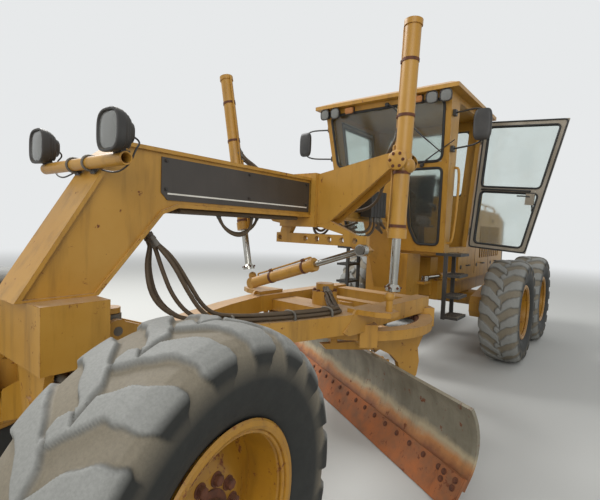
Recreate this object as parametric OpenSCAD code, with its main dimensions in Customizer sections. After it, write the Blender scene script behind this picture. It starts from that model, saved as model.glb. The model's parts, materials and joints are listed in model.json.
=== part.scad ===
// Motor grader with a 12 ft blade, articulated frame and leaning front wheels.
// X points forward, Y to the machine's left and Z up. The origin is on the ground below
// the middle of the machine's overall length.

/* [Chassis] */
// Distance from the front axle to the middle of the tandem axles
wheelbase = 5920; // [5700:10:6200]
// Distance between the two tandem axles on one side
tandem_spacing = 1522; // [1480:2:1620]
// Distance from the centre line to the middle of each tyre
half_track = 1040; // [1020:5:1120]
// Distance from the tandem middle to the articulation pin
hitch_x = 1750; // [1720:5:1780]
// Distance from the tandem middle to the back of the rear bumper
tail_x = 1900; // [1850:5:2000]

// Angle of the front wheels to the left, as parked
steer_deg = 7; // [0:0.5:12]

/* [Tyres] */
// Outside radius of a tyre over its bars
tyre_r = 675; // [660:1:690]
// Section width of a tyre
tyre_w = 445; // [400:1:460]
// Radius of the wheel rim at its flange
rim_r = 334; // [325:1:345]
// Height of a traction bar above the tread
bar_h = 32; // [20:1:40]
// Width of a traction bar
bar_w = 64; // [45:1:75]
// Traction bars on each side of a tyre
bar_count = 18; // [14:1:20]

/* [Main frame] */
// Width of the box frame
frame_w = 280; // [240:5:320]
// Height of the box frame between its flange faces
frame_h = 300; // [260:5:320]
// Height of the frame's top flange above the ground
frame_top = 2070; // [2050:5:2110]
// Thickness of the frame's flange plates
flange_t = 22; // [14:1:30]
// How far the flange plates stand out past the webs
flange_lip = 18; // [10:1:30]

/* [Drawbar and circle] */
// Distance from the front axle back to the drawbar's ball
ball_back = 260; // [240:5:280]
// Height of the drawbar's ball
ball_z = 1090; // [1070:5:1110]
// Distance from the drawbar's ball back to the circle's centre
circle_back = 2320; // [2280:5:2350]
// Outside diameter of the circle
circle_d = 1553; // [1500:1:1600]
// Swing of the drawbar to the left, as parked
swing_deg = 3; // [0:0.5:5]
// Distance from the drawbar's ball back to the lift cylinders
lift_back = 1730; // [1700:5:1760]

/* [Blade] */
// Length of the moldboard
blade_len = 3658; // [3350:2:3700]
// Height of the moldboard with its cutting edge
blade_h = 610; // [580:5:640]
// Angle of the moldboard to a square cut, left end leading
blade_angle = 30; // [20:1:45]
// Thickness of the moldboard plate
blade_t = 22; // [16:1:25]
// Radius of the moldboard's curve
blade_r = 413; // [400:1:450]
// Side shift of the moldboard towards its left end, as parked
blade_shift = -170; // [-250:5:0]
// Gap between the cutting edge and the ground
blade_gap = 8; // [5:1:20]

/* [Cab] */
// Height of the cab floor above the ground
floor_z = 1450; // [1430:5:1470]
// Height of the roof's underside at the front
roof_z = 3090; // [3050:5:3120]
// Distance from the tandem middle to the cab's rear wall
cab_back = 1250; // [1230:5:1270]
// Distance from the tandem middle to the cab's front at floor height
cab_front = 2250; // [2220:5:2280]
// How far the windscreen's top leans forward of its foot
cab_lean = 360; // [300:5:400]
// Half width of the cab at the floor
cab_low = 640; // [610:5:660]
// Half width of the cab under the roof
cab_high = 760; // [740:5:780]
// Thickness of the cab's walls and doors
wall_t = 50; // [40:1:60]

/* [Clearances] */
// Radial running clearance of a pin in its bore
fit = 0.08; // [0.05:0.01:0.1]
// Gap left between two faces that meet on different pieces
touch = 0.3; // [0.2:0.1:0.5]
// Gap between neighbouring parts that move past each other
gap = 8; // [6:1:12]

/* [Hidden] */
$fn = 48;
left = 1;
right = -1;
// middle of the overall length, which the origin stands below
mid_x = (wheelbase + tyre_r - tail_x) / 2;
axle_z = tyre_r;
frame_bottom = frame_top - frame_h;

// helpers for blocks, profiles and bars

// block between two opposite corners
module block(a, b) {
  translate([for (i = [0:2]) min(a[i], b[i])])
    cube([for (i = [0:2]) abs(b[i] - a[i])]);
}

// side view outline in X and Z, from one Y to another
module side_cut(y0, y1) {
  translate([0, max(y0, y1), 0]) rotate([90, 0, 0]) linear_extrude(abs(y1 - y0)) children();
}

// end view outline in Y and Z, from one X to another
module end_cut(x0, x1) {
  translate([min(x0, x1), 0, 0]) rotate([90, 0, 90]) linear_extrude(abs(x1 - x0)) children();
}

// turns what is drawn along Z so that it runs from a to b
module along(a, b) {
  d = b - a;
  translate(a) rotate([0, acos(d[2] / norm(d)), atan2(d[1], d[0])]) children();
}

// round bar from a to b
module bar(a, b, r) {
  along(a, b) cylinder(h = norm(b - a), r = r);
}

// pin along X, centred on p
module pin_x(p, len, r) {
  translate(p) rotate([0, 90, 0]) cylinder(h = len, r = r, center = true);
}

// pin along Y, centred on p
module pin_y(p, len, r) {
  translate(p) rotate([90, 0, 0]) cylinder(h = len, r = r, center = true);
}

// pin along Z, centred on p
module pin_z(p, len, r) {
  translate(p) cylinder(h = len, r = r, center = true);
}

// rotates what it holds about a point, about Z
module turned(p, deg) {
  translate(p) rotate([0, 0, deg]) translate(-p) children();
}

// hose swept through points, as one closed tube
function unit(v) = v / norm(v);
function dir_at(p, i) = unit(p[min(i + 1, len(p) - 1)] - p[max(i - 1, 0)]);
function side_of(d) = unit(cross(abs(d[2]) > 0.8 ? [1, 0.1, 0] : [0, 0, 1], d));
function bend(a, b, c, t) = (1 - t) * (1 - t) * a + 2 * t * (1 - t) * b + t * t * c;
function smooth(p, k = 4) = concat([p[0]],
  [for (i = [1:len(p) - 2], j = [0:k])
    bend((p[i - 1] + p[i]) / 2, p[i], (p[i] + p[i + 1]) / 2, j / k)],
  [p[len(p) - 1]]);
module hose(points, r, sides = 8) {
  p = smooth(points);
  n = len(p);
  rings = [for (i = [0:n - 1]) let (d = dir_at(p, i), u = side_of(d), v = cross(d, u))
    for (a = [0:sides - 1]) p[i] + r * (cos(a * 360 / sides) * u + sin(a * 360 / sides) * v)];
  walls = [for (i = [0:n - 2], a = [0:sides - 1])
    let (b = (a + 1) % sides) each [
      [i * sides + a, (i + 1) * sides + a, i * sides + b],
      [i * sides + b, (i + 1) * sides + a, (i + 1) * sides + b]]];
  polyhedron(rings, concat([[for (a = [0:sides - 1]) a]], walls,
    [[for (a = [sides - 1:-1:0]) (n - 1) * sides + a]]), convexity = 6);
}

// main frame

ball_x = wheelbase - ball_back;
saddle_x = ball_x - lift_back;
// block at the foot of the front leg, and the bend where the leg meets the beam
bolster_top = 1300;
bolster_low = 1000;
bolster_half = 280;
bolster_x0 = wheelbase - 120;
bolster_x1 = wheelbase + 180;
bend_x = bolster_x0 - 230;
// back and front of the rear leg, and where the beam starts behind the cab
leg_back_x = 1950;
leg_front_x = 2330;
beam_x = 2850;
leg_low = 760;
hitch_low = 800;
hitch_high = 1280;
tongue_t = 60;
hitch_pin_r = 45;
// articulation cylinders: height, and the pins on the front and the rear frame
artic_z = 1110;
artic_front_x = 1860;
artic_front_y = 300;
artic_rear_x = 1040;
artic_rear_y = 400;
artic_pin_r = 20;

// side view of the box frame, grown by t where the flange plates lie
module frame_outline(t = 0) {
  polygon([
    [bolster_x1 + 40 + t, bolster_top], [bend_x + 140 + t, frame_top - 60], [bend_x + 60, frame_top + t],
    [bend_x - 40, frame_top + t], [beam_x, frame_top + t], [leg_front_x, floor_z - 30],
    [leg_back_x, floor_z - 30], [leg_back_x, leg_low], [leg_front_x + t, leg_low],
    [leg_front_x + t, leg_low + 240], [beam_x - 180, frame_bottom - t], [bend_x - 240, frame_bottom - t],
    [bend_x - 140, frame_bottom - 40 - t], [bolster_x0 - t, bolster_top]]);
}

module main_frame() {
  web = frame_w / 2 - flange_lip;
  color("goldenrod") difference() {
    union() {
      side_cut(-web, web) frame_outline();
      // flange plates, standing out past the webs all the way along the beam
      side_cut(-frame_w / 2, frame_w / 2) difference() {
        frame_outline(flange_t / 2);
        offset(delta = -flange_t / 2) frame_outline();
      }
      block([bolster_x0, -bolster_half, bolster_low], [bolster_x1, bolster_half, bolster_top]);
      // two cheeks that hold the axle's oscillation pin
      for (x = [bolster_x0, bolster_x1 - 100])
        end_cut(x, x + 40) polygon([[-180, bolster_low + 1], [180, bolster_low + 1],
          [90, axle_z + 10], [-90, axle_z + 10]]);
      // arms that hold the drawbar's upright pin
      for (z = [ball_z - 115, ball_z + 85]) {
        block([ball_x, -55, z], [bolster_x0 + 10, 55, z + 30]);
        translate([ball_x, 0, z]) cylinder(h = 30, r = 55);
      }
      pin_z([ball_x, 0, ball_z], 190, 25 - fit);
      // hitch: side plates and two tongues
      block([leg_back_x, -260, leg_low], [leg_front_x, 260, floor_z - 30]);
      for (z = [hitch_low, hitch_high]) {
        block([hitch_x, -110, z], [leg_back_x + 10, 110, z + tongue_t]);
        translate([hitch_x, 0, z]) cylinder(h = tongue_t, r = 110);
      }
      // ears for the articulation cylinders' rods
      for (s = [left, right])
        block([artic_front_x - 45, s * 250, artic_z - 66], [leg_back_x + 50, s * 345, artic_z - 34]);
      // cab mounts
      for (s = [left, right])
        block([1500, s * 200, floor_z - 30], [2200, s * 560, floor_z - touch]);
      block([1900, -200, floor_z - 31], [2200, 200, floor_z - touch]);
    }
    for (z = [hitch_low, hitch_high])
      translate([hitch_x, 0, z - 1]) cylinder(h = tongue_t + 2, r = hitch_pin_r);
    pin_x([wheelbase, 0, axle_z + 110], 800, 40);
    // round holes in the bolster's rear plate
    for (s = [left, right])
      pin_x([bolster_x0, s * 200, bolster_low + 90], 40, 45);
  }
}

// front axle with its leaning wheels

lean_y = 660;
lean_z = 520;
king_y = 860;
arm_back = 200;
arm_z = axle_z - 90;
lean_bar_z = 930;
spindle_r = 45;
lean_pin_r = 35;

module front_axle() {
  color("goldenrod") difference() {
    union() {
      end_cut(wheelbase - 70, wheelbase + 70) polygon([
        [-lean_y, lean_z - 68], [-540, 510], [-200, 640], [200, 640], [540, 510], [lean_y, lean_z - 68],
        [lean_y, lean_z + 68], [560, 690], [180, 870], [-180, 870], [-560, 690], [-lean_y, lean_z + 68]]);
      for (s = [left, right])
        pin_x([wheelbase, s * lean_y, lean_z], 110, 68);
      pin_x([wheelbase, 0, axle_z + 110], 270, 40 - touch);
    }
    for (s = [left, right]) {
      pin_x([wheelbase, s * lean_y, lean_z], 400, lean_pin_r);
      // the boss is narrower than the beam, so the yoke's ears straddle it
      for (x = [-1, 1])
        translate([wheelbase + x * 95, s * (lean_y + 20), lean_z + 20])
          cube([80, 200, 300], center = true);
    }
  }
}

module lean_yoke(s) {
  color("goldenrod") union() {
    pin_x([wheelbase, s * lean_y, lean_z], 170, lean_pin_r - fit);
    difference() {
      union() {
        for (x = [-1, 1])
          end_cut(wheelbase + x * 60, wheelbase + x * 86) polygon([
            [s * (lean_y - 45), lean_z - 40], [s * lean_y, lean_z - 62], [s * 800, 480],
            [s * 800, 870], [s * 740, 870], [s * (lean_y - 52), lean_z + 30]]);
        block([wheelbase - 86, s * 750, 490], [wheelbase + 86, s * 800, 870]);
        for (z = [axle_z - 165, axle_z + 105]) {
          block([wheelbase - 50, s * 790, z], [wheelbase + 50, s * king_y, z + 60]);
          translate([wheelbase, s * king_y, z]) cylinder(h = 60, r = 50);
        }
        // neck up to the lean bar's pin
        end_cut(wheelbase - 16, wheelbase + 16) polygon([
          [s * 760, 800], [s * 760, 870], [s * (lean_y + 20), lean_bar_z + 40],
          [s * (lean_y - 35), lean_bar_z + 20], [s * (lean_y - 35), lean_bar_z - 25]]);
      }
      // window the steering arm sweeps through
      block([wheelbase - 100, s * 690, arm_z - 12], [wheelbase - 10, s * 801, arm_z + 37]);
    }
    pin_x([wheelbase + 35, s * lean_y, lean_bar_z], 70, 14);
    pin_z([wheelbase, s * king_y, axle_z], 330, 25 - fit);
  }
}

module lean_bar() {
  color("dimgray") difference() {
    union() {
      bar([wheelbase + 42, -lean_y, lean_bar_z], [wheelbase + 42, lean_y, lean_bar_z], 20);
      for (s = [left, right])
        pin_x([wheelbase + 42, s * lean_y, lean_bar_z], 40, 32);
    }
    for (s = [left, right])
      pin_x([wheelbase + 42, s * lean_y, lean_bar_z], 60, 14 + fit);
  }
}

module knuckle(s) {
  color("goldenrod") steered(s) difference() {
    union() {
      pin_z([wheelbase, s * king_y, axle_z], 195, 52);
      pin_y([wheelbase, s * (king_y + 150), axle_z], 300, spindle_r);
      pin_y([wheelbase, s * (king_y + 45), axle_z], 90, 70);
      // steering arm, with the tie rod's pin on the left one
      block([wheelbase - arm_back, s * (king_y - 18), arm_z], [wheelbase, s * (king_y + 18), arm_z + 25]);
      translate([wheelbase - arm_back, s * king_y, arm_z]) cylinder(h = 25, r = 30);
      if (s == left)
        pin_z([wheelbase - arm_back, s * king_y, arm_z - 30], 70, 12);
    }
    pin_z([wheelbase, s * king_y, axle_z], 400, 25);
  }
}

// turns what a knuckle carries about its kingpin to the parked steering angle
module steered(s) {
  turned([wheelbase, s * king_y, 0], steer_deg) children();
}

tie_z = axle_z - 125;
// how far the parked steering angle moves the steering arms' pins
tie_dx = arm_back * (1 - cos(steer_deg));
tie_dy = -arm_back * sin(steer_deg);
module tie_rod_end() {
  color("dimgray") translate([tie_dx, tie_dy, 0]) difference() {
    union() {
      pin_z([wheelbase - arm_back, king_y, tie_z], 50, 24);
      pin_x([wheelbase - arm_back - 35, king_y, tie_z], 40, 10);
    }
    pin_z([wheelbase - arm_back, king_y, tie_z], 90, 12 + fit);
  }
}

module tie_rod() {
  x = wheelbase - arm_back;
  color("dimgray") translate([tie_dx, tie_dy, 0]) difference() {
    union() {
      bar([x, -king_y + 40, tie_z], [x, king_y - 55, tie_z], 15);
      // fork round the left end
      pin_x([x - 45, king_y, tie_z], 18, 20);
      block([x - 54, king_y - 70, tie_z - 12], [x - 36, king_y, tie_z + 12]);
      block([x - 54, king_y - 90, tie_z - 14], [x + 12, king_y - 50, tie_z + 14]);
      // right end, which stays below the right steering arm
      pin_z([x, -king_y, tie_z - 3], 38, 24);
      pin_z([x, -king_y, tie_z + 10], 24, 12);
      block([x - 12, -king_y, tie_z - 12], [x + 12, -king_y + 60, tie_z + 12]);
    }
    pin_x([x - 45, king_y, tie_z], 60, 10 + fit);
  }
}

// wheels

// tyre body as a revolved section, Y along the wheel's axis
module tyre_section() {
  w = tyre_w / 2;
  polygon([[rim_r - 16, -w + 66], [rim_r + 22, -w + 40], [rim_r + 60, -w + 14], [rim_r + 150, -w],
    [tyre_r - 95, -w + 8], [tyre_r - bar_h - 14, -w + 52], [tyre_r - bar_h, -w + 110],
    [tyre_r - bar_h, w - 110], [tyre_r - bar_h - 14, w - 52], [tyre_r - 95, w - 8], [rim_r + 150, w],
    [rim_r + 60, w - 14], [rim_r + 22, w - 40], [rim_r - 16, w - 66]]);
}

// one traction bar, outlined along and out from the wheel's axis, as thick as it is wide
module traction_bar() {
  w = tyre_w / 2;
  linear_extrude(bar_w, center = true) polygon([
    [-14, tyre_r - bar_h - 30], [-14, tyre_r], [w - 35, tyre_r], [w + 22, tyre_r - 40],
    [w + 22, tyre_r - 78], [w - 20, tyre_r - 92]]);
}

module tyre() {
  color("dimgray") union() {
    rotate_extrude($fn = 96) tyre_section();
    for (i = [0:bar_count - 1], k = [0, 1])
      rotate([0, 0, (i + k / 2) * 360 / bar_count]) mirror([0, 0, k])
        rotate([0, 90, 0]) rotate([0, 0, 118]) rotate([0, 0, 90]) rotate([90, 0, 0]) traction_bar();
  }
}

// dished rim, hub and disc, drawn about Z with the outside face towards plus Z
module rim(bore_r, disc_z) {
  w = tyre_w / 2;
  color("gold") difference() {
    union() {
      rotate_extrude($fn = 96) polygon([[rim_r - 16, -w + 66], [rim_r - 16, w - 66],
        [rim_r + 22, w - 40], [rim_r + 14, w - 28], [rim_r - 30, w - 58], [rim_r - 34, -w + 66],
        [rim_r - 30, -w + 58], [rim_r + 14, -w + 28], [rim_r + 22, -w + 40]]);
      // dished disc with a raised middle
      rotate_extrude($fn = 96) polygon([[bore_r - 1, disc_z - 12], [150, disc_z - 12],
        [rim_r - 60, disc_z - 62], [rim_r - 26, disc_z - 66], [rim_r - 26, disc_z - 46],
        [rim_r - 66, disc_z - 42], [158, disc_z + 8], [bore_r - 1, disc_z + 8]]);
      translate([0, 0, disc_z - 60]) cylinder(h = 90, r = 96);
      translate([0, 0, disc_z]) cylinder(h = 58, r = 66);
      for (i = [0:9])
        rotate([0, 0, i * 36]) translate([126, 0, disc_z]) cylinder(h = 24, r = 13, $fn = 6);
    }
    translate([0, 0, disc_z - 100]) cylinder(h = 152, r = bore_r);
  }
}

module wheel(s, bore_r, disc_z) {
  rotate([s * -90, 0, 0]) union() {
    tyre();
    rim(bore_r, disc_z);
  }
}

module front_wheel(s) {
  steered(s) translate([wheelbase, s * half_track, axle_z]) wheel(s, spindle_r + fit, 70);
}

// Rear wheels turn on the ends of the tandem case
tandem_in = 575;
tandem_out = 776;
stub_r = 60;
module rear_wheel(s, x) {
  translate([x, s * half_track, axle_z]) wheel(s, stub_r + fit, 40);
}

// lift linkage: saddle, two rocker arms and the link bar

yoke_y = 870;
yoke_z = 2180;
yoke_gap = 68;
link_z = 1580;
link_y0 = -250;
link_y1 = 650;
link_holes = 5;
link_pitch = 120;
// the link bar and its hangers lie in front of the lift cylinders, whose rods swing past them
link_x0 = saddle_x + 42;
link_x1 = saddle_x + 92;
shift_eye = [saddle_x, link_y1, 1520];

module lift_linkage() {
  color("goldenrod") difference() {
    union() {
      // saddle round the frame
      block([saddle_x - 130, -frame_w / 2 - 45, frame_bottom - 90],
        [saddle_x + 130, frame_w / 2 + 45, frame_top + 50]);
      for (s = [left, right]) {
        for (x = [-1, 1])
          end_cut(saddle_x + x * yoke_gap, saddle_x + x * (yoke_gap + 26)) polygon([
            [s * 170, 1700], [s * 300, 1720], [s * (yoke_y - 60), yoke_z - 60],
            [s * (yoke_y + 10), yoke_z - 62], [s * (yoke_y + 55), yoke_z],
            [s * (yoke_y + 10), yoke_z + 62], [s * (yoke_y - 90), yoke_z + 50], [s * 170, frame_top + 40]]);
        // web between the two cheeks, stopping short of the cylinder
        end_cut(saddle_x - yoke_gap, saddle_x + yoke_gap) polygon([
          [s * 170, 1740], [s * 300, 1760], [s * 640, 2040], [s * 640, 2140], [s * 170, frame_top]]);
      }
      // hangers down to the link bar, and the lug for the shift cylinder
      end_cut(link_x0, link_x1)
        polygon([[-190, 1700], [-230, link_z - 40], [-150, link_z - 40], [-60, 1700]]);
      end_cut(link_x0, link_x1) polygon([[150, 1700], [520, link_z + 30], [600, link_z + 30], [300, 1740]]);
      block([link_x0, link_y0, link_z - 40], [link_x1, link_y1, link_z + 45]);
      end_cut(link_x0, link_x1 + 26) polygon([[link_y1 - 80, link_z - 30], [link_y1, link_z - 30],
        [link_y1 + 45, shift_eye[2]], [link_y1, shift_eye[2] - 45], [link_y1 - 45, shift_eye[2]]]);
    }
    // the frame passes through
    side_cut(-frame_w / 2 - touch, frame_w / 2 + touch) offset(delta = touch) frame_outline(flange_t / 2);
    for (s = [left, right])
      pin_x([saddle_x, s * yoke_y, yoke_z], 400, 30);
    for (y = concat([link_y0 + 40], [for (i = [0:link_holes - 1]) link_y1 - 100 - i * link_pitch]))
      pin_x([link_x0, y, link_z + 4], 200, 22);
    pin_x(shift_eye, 400, shift_pin_r);
  }
}

// lift cylinders, leaning as the drawbar is parked

lift_eye_z = 1185;
ball_r = 38;
// left and right ball studs of the drawbar, turned with its swing
function swung(p) = [ball_x, 0, 0] + [for (r = [[cos(-swing_deg), -sin(-swing_deg), 0],
  [sin(-swing_deg), cos(-swing_deg), 0], [0, 0, 1]]) r * (p - [ball_x, 0, 0])];
function lift_ball(s) = swung([saddle_x, s * 750, lift_eye_z]);
function lift_top(s) = [saddle_x, s * yoke_y, yoke_z];
barrel_r = 58;
barrel_down = 560;
barrel_up = 1000;
rod_r = 32;
rod_len = 1480;

// draws along the cylinder from its ball, plus Z up to the yoke
module on_lift(s) {
  b = lift_ball(s);
  t = [saddle_x, s * yoke_y, yoke_z];
  foot = [saddle_x, b[1], b[2]];
  along(foot, t) children();
}

function lift_len(s) = norm([0, s * yoke_y - lift_ball(s)[1], yoke_z - lift_eye_z]);

module lift_barrel(s) {
  l = lift_len(s);
  color("goldenrod") difference() {
    union() {
      on_lift(s) translate([0, 0, l - barrel_down]) cylinder(h = barrel_down + barrel_up, r = barrel_r);
      on_lift(s) translate([0, 0, l - barrel_down]) cylinder(h = 70, r = barrel_r + 10);
      on_lift(s) translate([0, 0, l + barrel_up - 40]) cylinder(h = 40, r = barrel_r + 8);
      on_lift(s) translate([0, 0, l - 60]) cylinder(h = 120, r = barrel_r + 6);
      pin_x([saddle_x, s * yoke_y, yoke_z], 2 * (yoke_gap + 26), 30 - fit);
    }
    on_lift(s) translate([0, 0, l - barrel_down - 1]) cylinder(h = 72, r = rod_r + touch);
    on_lift(s) translate([0, 0, l - barrel_down + 70]) cylinder(h = barrel_down + barrel_up - 110, r = 46);
  }
}

module lift_rod(s) {
  // the right cylinder leans, so its foot sinks towards the ball as the drawbar swings it upright
  up = ball_r + (s == left ? 3 : 27);
  color("silver") on_lift(s) union() {
    translate([0, 0, up + 1]) cylinder(h = rod_len, r = rod_r);
    translate([0, 0, up]) cylinder(h = 30, r = 56);
    translate([0, 0, up + 29]) cylinder(h = 22, r1 = 56, r2 = 36);
  }
}

// centre shift cylinder between the link bar and the drawbar's right ear

shift_foot_y = -560;
shift_foot_z = 1150;
shift_foot = swung([saddle_x, shift_foot_y, shift_foot_z]);
shift_end = [saddle_x, shift_foot[1], shift_foot[2]];
shift_x = 153;
shift_pin_r = 22;
shift_rod_len = 885;
shift_l0 = 445;
module on_shift() {
  translate([shift_x, 0, 0]) along(shift_eye, shift_end) children();
}
shift_len = norm(shift_end - shift_eye);

// pin with a head, which turns in the link bar's lug and carries the rod's eye
module shift_pin() {
  tip = shift_eye + [shift_x + 28 + touch, 0, 0];
  color("dimgray") union() {
    bar([link_x0, shift_eye[1], shift_eye[2]], tip + [1, 0, 0], shift_pin_r - fit);
    bar(tip, tip + [14, 0, 0], 34);
  }
}

module shift_rod() {
  color("silver") difference() {
    union() {
      on_shift() cylinder(h = shift_rod_len, r = 25);
      pin_x(shift_eye + [shift_x, 0, 0], 56, 45);
    }
    pin_x(shift_eye + [shift_x, 0, 0], 80, shift_pin_r);
  }
}

module shift_barrel() {
  color("goldenrod") difference() {
    union() {
      on_shift() translate([0, 0, shift_l0]) cylinder(h = shift_len - shift_l0 - 30, r = 48);
      on_shift() translate([0, 0, shift_l0]) cylinder(h = 50, r = 56);
      pin_x(shift_end + [shift_x, 0, 0], 56, 50);
    }
    on_shift() translate([0, 0, shift_l0 - 1]) cylinder(h = 60, r = 25 + touch);
    on_shift() translate([0, 0, shift_l0 + 58]) cylinder(h = shift_len - shift_l0 - 58 - 56, r = 36);
  }
}

// drawbar

fork_y0 = 66;
fork_y1 = 104;
beam_top = 1045;
beam_low = 900;
// inside and outside of the A frame's two parallel legs
leg_in = 430;
leg_out = 560;
// height the cross members stay below, so the drawbar can rise to the link bar's lug
cross_top = 1000;
circle_r = circle_d / 2;
circle_top = 880;
circle_low = 800;
// the circle stays in front of the rear leg
circle_x = max(ball_x - circle_back, leg_front_x + gap + circle_r);
drive_x = circle_x + 400;

module drawbar_swivel() {
  color("dimgray") turned([ball_x, 0, 0], -swing_deg) difference() {
    union() {
      pin_z([ball_x, 0, ball_z], 160, 60);
      pin_y([ball_x, 0, ball_z], 2 * fork_y1, 25 - fit);
    }
    pin_z([ball_x, 0, ball_z], 300, 25);
  }
}

module drawbar_body() {
  difference() {
    union() {
      // front fork
      for (s = [left, right]) {
        pin_y([ball_x, s * (fork_y0 + fork_y1) / 2, ball_z], fork_y1 - fork_y0, 62);
        side_cut(s * fork_y0, s * fork_y1) polygon([[ball_x, ball_z + 62], [ball_x, ball_z - 62],
          [ball_x - 260, beam_low], [ball_x - 360, beam_low], [ball_x - 360, beam_top],
          [ball_x - 240, beam_top + 20]]);
      }
      // two legs of the A frame
      for (s = [left, right])
        translate([0, 0, beam_low]) linear_extrude(beam_top - beam_low) polygon([
          [ball_x - 210, s * fork_y0], [ball_x - 240, s * fork_y1], [saddle_x + 670, s * 430],
          [saddle_x + 220, s * leg_out], [circle_x - leg_out, s * leg_out], [circle_x - leg_out, s * leg_in],
          [saddle_x + 180, s * leg_in], [saddle_x + 630, s * 300], [ball_x - 360, 0], [ball_x - 330, 0]]);
      block([ball_x - 420, -100, beam_low], [ball_x - 280, 100, beam_top]);
      // cross members
      block([saddle_x - 270, -500, beam_low], [saddle_x + 35, 500, cross_top]);
      block([circle_x - leg_out, -500, beam_low + 20], [circle_x - 380, 500, beam_top - 20]);
      // ears that carry the lift cylinders' balls
      for (s = [left, right]) {
        translate([0, 0, lift_eye_z - 150]) linear_extrude(40) polygon([[saddle_x - 150, s * 480],
          [saddle_x - 120, s * 700], [saddle_x - 60, s * 800], [saddle_x + 60, s * 800],
          [saddle_x + 110, s * 700], [saddle_x + 150, s * 480]]);
        side_cut(s * (leg_out - 20), s * (leg_out + 2)) polygon([[saddle_x - 150, circle_top + gap],
          [saddle_x + 230, circle_top + gap], [saddle_x + 290, beam_low + 20],
          [saddle_x + 150, lift_eye_z - 111], [saddle_x - 150, lift_eye_z - 111]]);
        translate([saddle_x, s * 750, lift_eye_z - 115]) cylinder(h = 95, r = 26);
        translate([saddle_x, s * 750, lift_eye_z]) sphere(r = ball_r);
      }
      // shoes that hold the circle at four points
      for (a = [45, 135, 225, 315])
        translate([circle_x, 0, 0]) rotate([0, 0, a]) {
          block([circle_r + 6, -70, circle_low - 40], [circle_r + 50, 70, beam_low + 40]);
          block([circle_r - 48, -70, circle_low - 40], [circle_r + 10, 70, circle_low - touch]);
          block([circle_r - 260, -70, circle_top + touch], [circle_r + 50, 70, beam_low + 40]);
        }
      // circle drive: gear case with its motor
      translate([drive_x, 0, circle_top + 6]) cylinder(h = 234, r = 110);
      translate([drive_x, 0, circle_top + 239]) cylinder(h = 66, r = 80);
      // hub over the circle's middle
      translate([circle_x, 0, beam_low]) cylinder(h = 80, r = 110);
      block([circle_x - 60, -450, beam_low], [circle_x + 60, 450, cross_top]);
    }
    for (s = [left, right])
      pin_y([ball_x, s * (fork_y0 + fork_y1) / 2, ball_z], 100, 25);
  }
}

module drawbar() {
  color("goldenrod") turned([ball_x, 0, 0], -swing_deg) drawbar_body();
}

// circle, blade arms and what tips the moldboard; drawn with the blade square to the machine

circle_at = swung([circle_x, 0, 0]);
module at_blade() {
  translate(circle_at) rotate([0, 0, -blade_angle]) children();
}

arm_y = 520;
arm_t = 50;
// the arms stay below the shoes that hold the circle, and reach it through pads
arm_top = circle_low - 55;
pad_mid = sqrt(pow(circle_r - 102, 2) - pow(arm_y, 2));
pad_in = pad_mid - 30;
pad_out = pad_mid + 30;
tip_at = [-70, 0, 215];
tip_pin_r = 32;
// tip cylinder's pins on the circle and on the slide carrier
tip_base = [-520, 0, 640];
tip_top = [-150, 0, 430];
tip_eye_y = 58;
tip_eye_w = 36;

// points in side view, counted from the three pins
function tip_at2(x, z) = [tip_at[0] + x, tip_at[2] + z];
function tip_eye2(x, z) = [tip_top[0] + x, tip_top[2] + z];
function tip_base2(x, z) = [tip_base[0] + x, tip_base[2] + z];

// big curved arm: a flat foot under the circle and a hooked tail down to the moldboard's heel
module arm_profile() {
  polygon([[pad_out + 80, arm_top], [pad_out + 40, arm_top - 45], [200, 672], [-20, 655], [-130, 600],
    [-205, 525], [-225, 450], [-190, 380], [-120, 300], [-20, 262], [-14, 200], [-50, 150], [-110, 148],
    [-220, 210], [-330, 300], [-410, 400], [-430, 520], [-410, 640], [-pad_out, arm_top]]);
}

module circle() {
  color("goldenrod") at_blade() difference() {
    union() {
      translate([0, 0, circle_low]) difference() {
        cylinder(h = circle_top - circle_low, r = circle_r, $fn = 96);
        translate([0, 0, -1]) cylinder(h = circle_top - circle_low + 2, r = circle_r - 120, $fn = 96);
      }
      for (s = [left, right]) {
        side_cut(s * (arm_y - arm_t / 2), s * (arm_y + arm_t / 2)) arm_profile();
        for (x = [-pad_out, pad_in])
          block([x, s * (arm_y - arm_t / 2), arm_top - 1],
            [x + pad_out - pad_in, s * (arm_y + arm_t / 2), circle_low + 1]);
      }
      // cross tube between the arms, with the tip cylinder's lug
      bar([-330, -arm_y, 695], [-330, arm_y, 695], 48);
      side_cut(-15, 15) polygon([[-330, 730], [-500, 690], tip_base2(-45, 20), tip_base2(-45, -30),
        tip_base2(0, -45), [-330, 660]]);
      translate([0, tip_eye_y, 0]) pin_y(tip_base, 2 * tip_eye_y - 20, 18 - fit);
    }
    for (s = [left, right])
      pin_y([tip_at[0], s * arm_y, tip_at[2]], 200, tip_pin_r);
  }
}

// backs of the moldboard's slide rails, lower and upper, which the carriers ride on
rail_low_x = -24;
rail_low_z = 295;
rail_high_x = -34;
rail_high_z = 520;
rail_h = 50;
carrier_y = arm_y + 60;
// side shift cylinder
shift_bar_x = -88;
shift_bar_z = 345;
shift_bar_r = 38;
shift_bar_end = 620;
shift_rod_r = 24;

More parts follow.
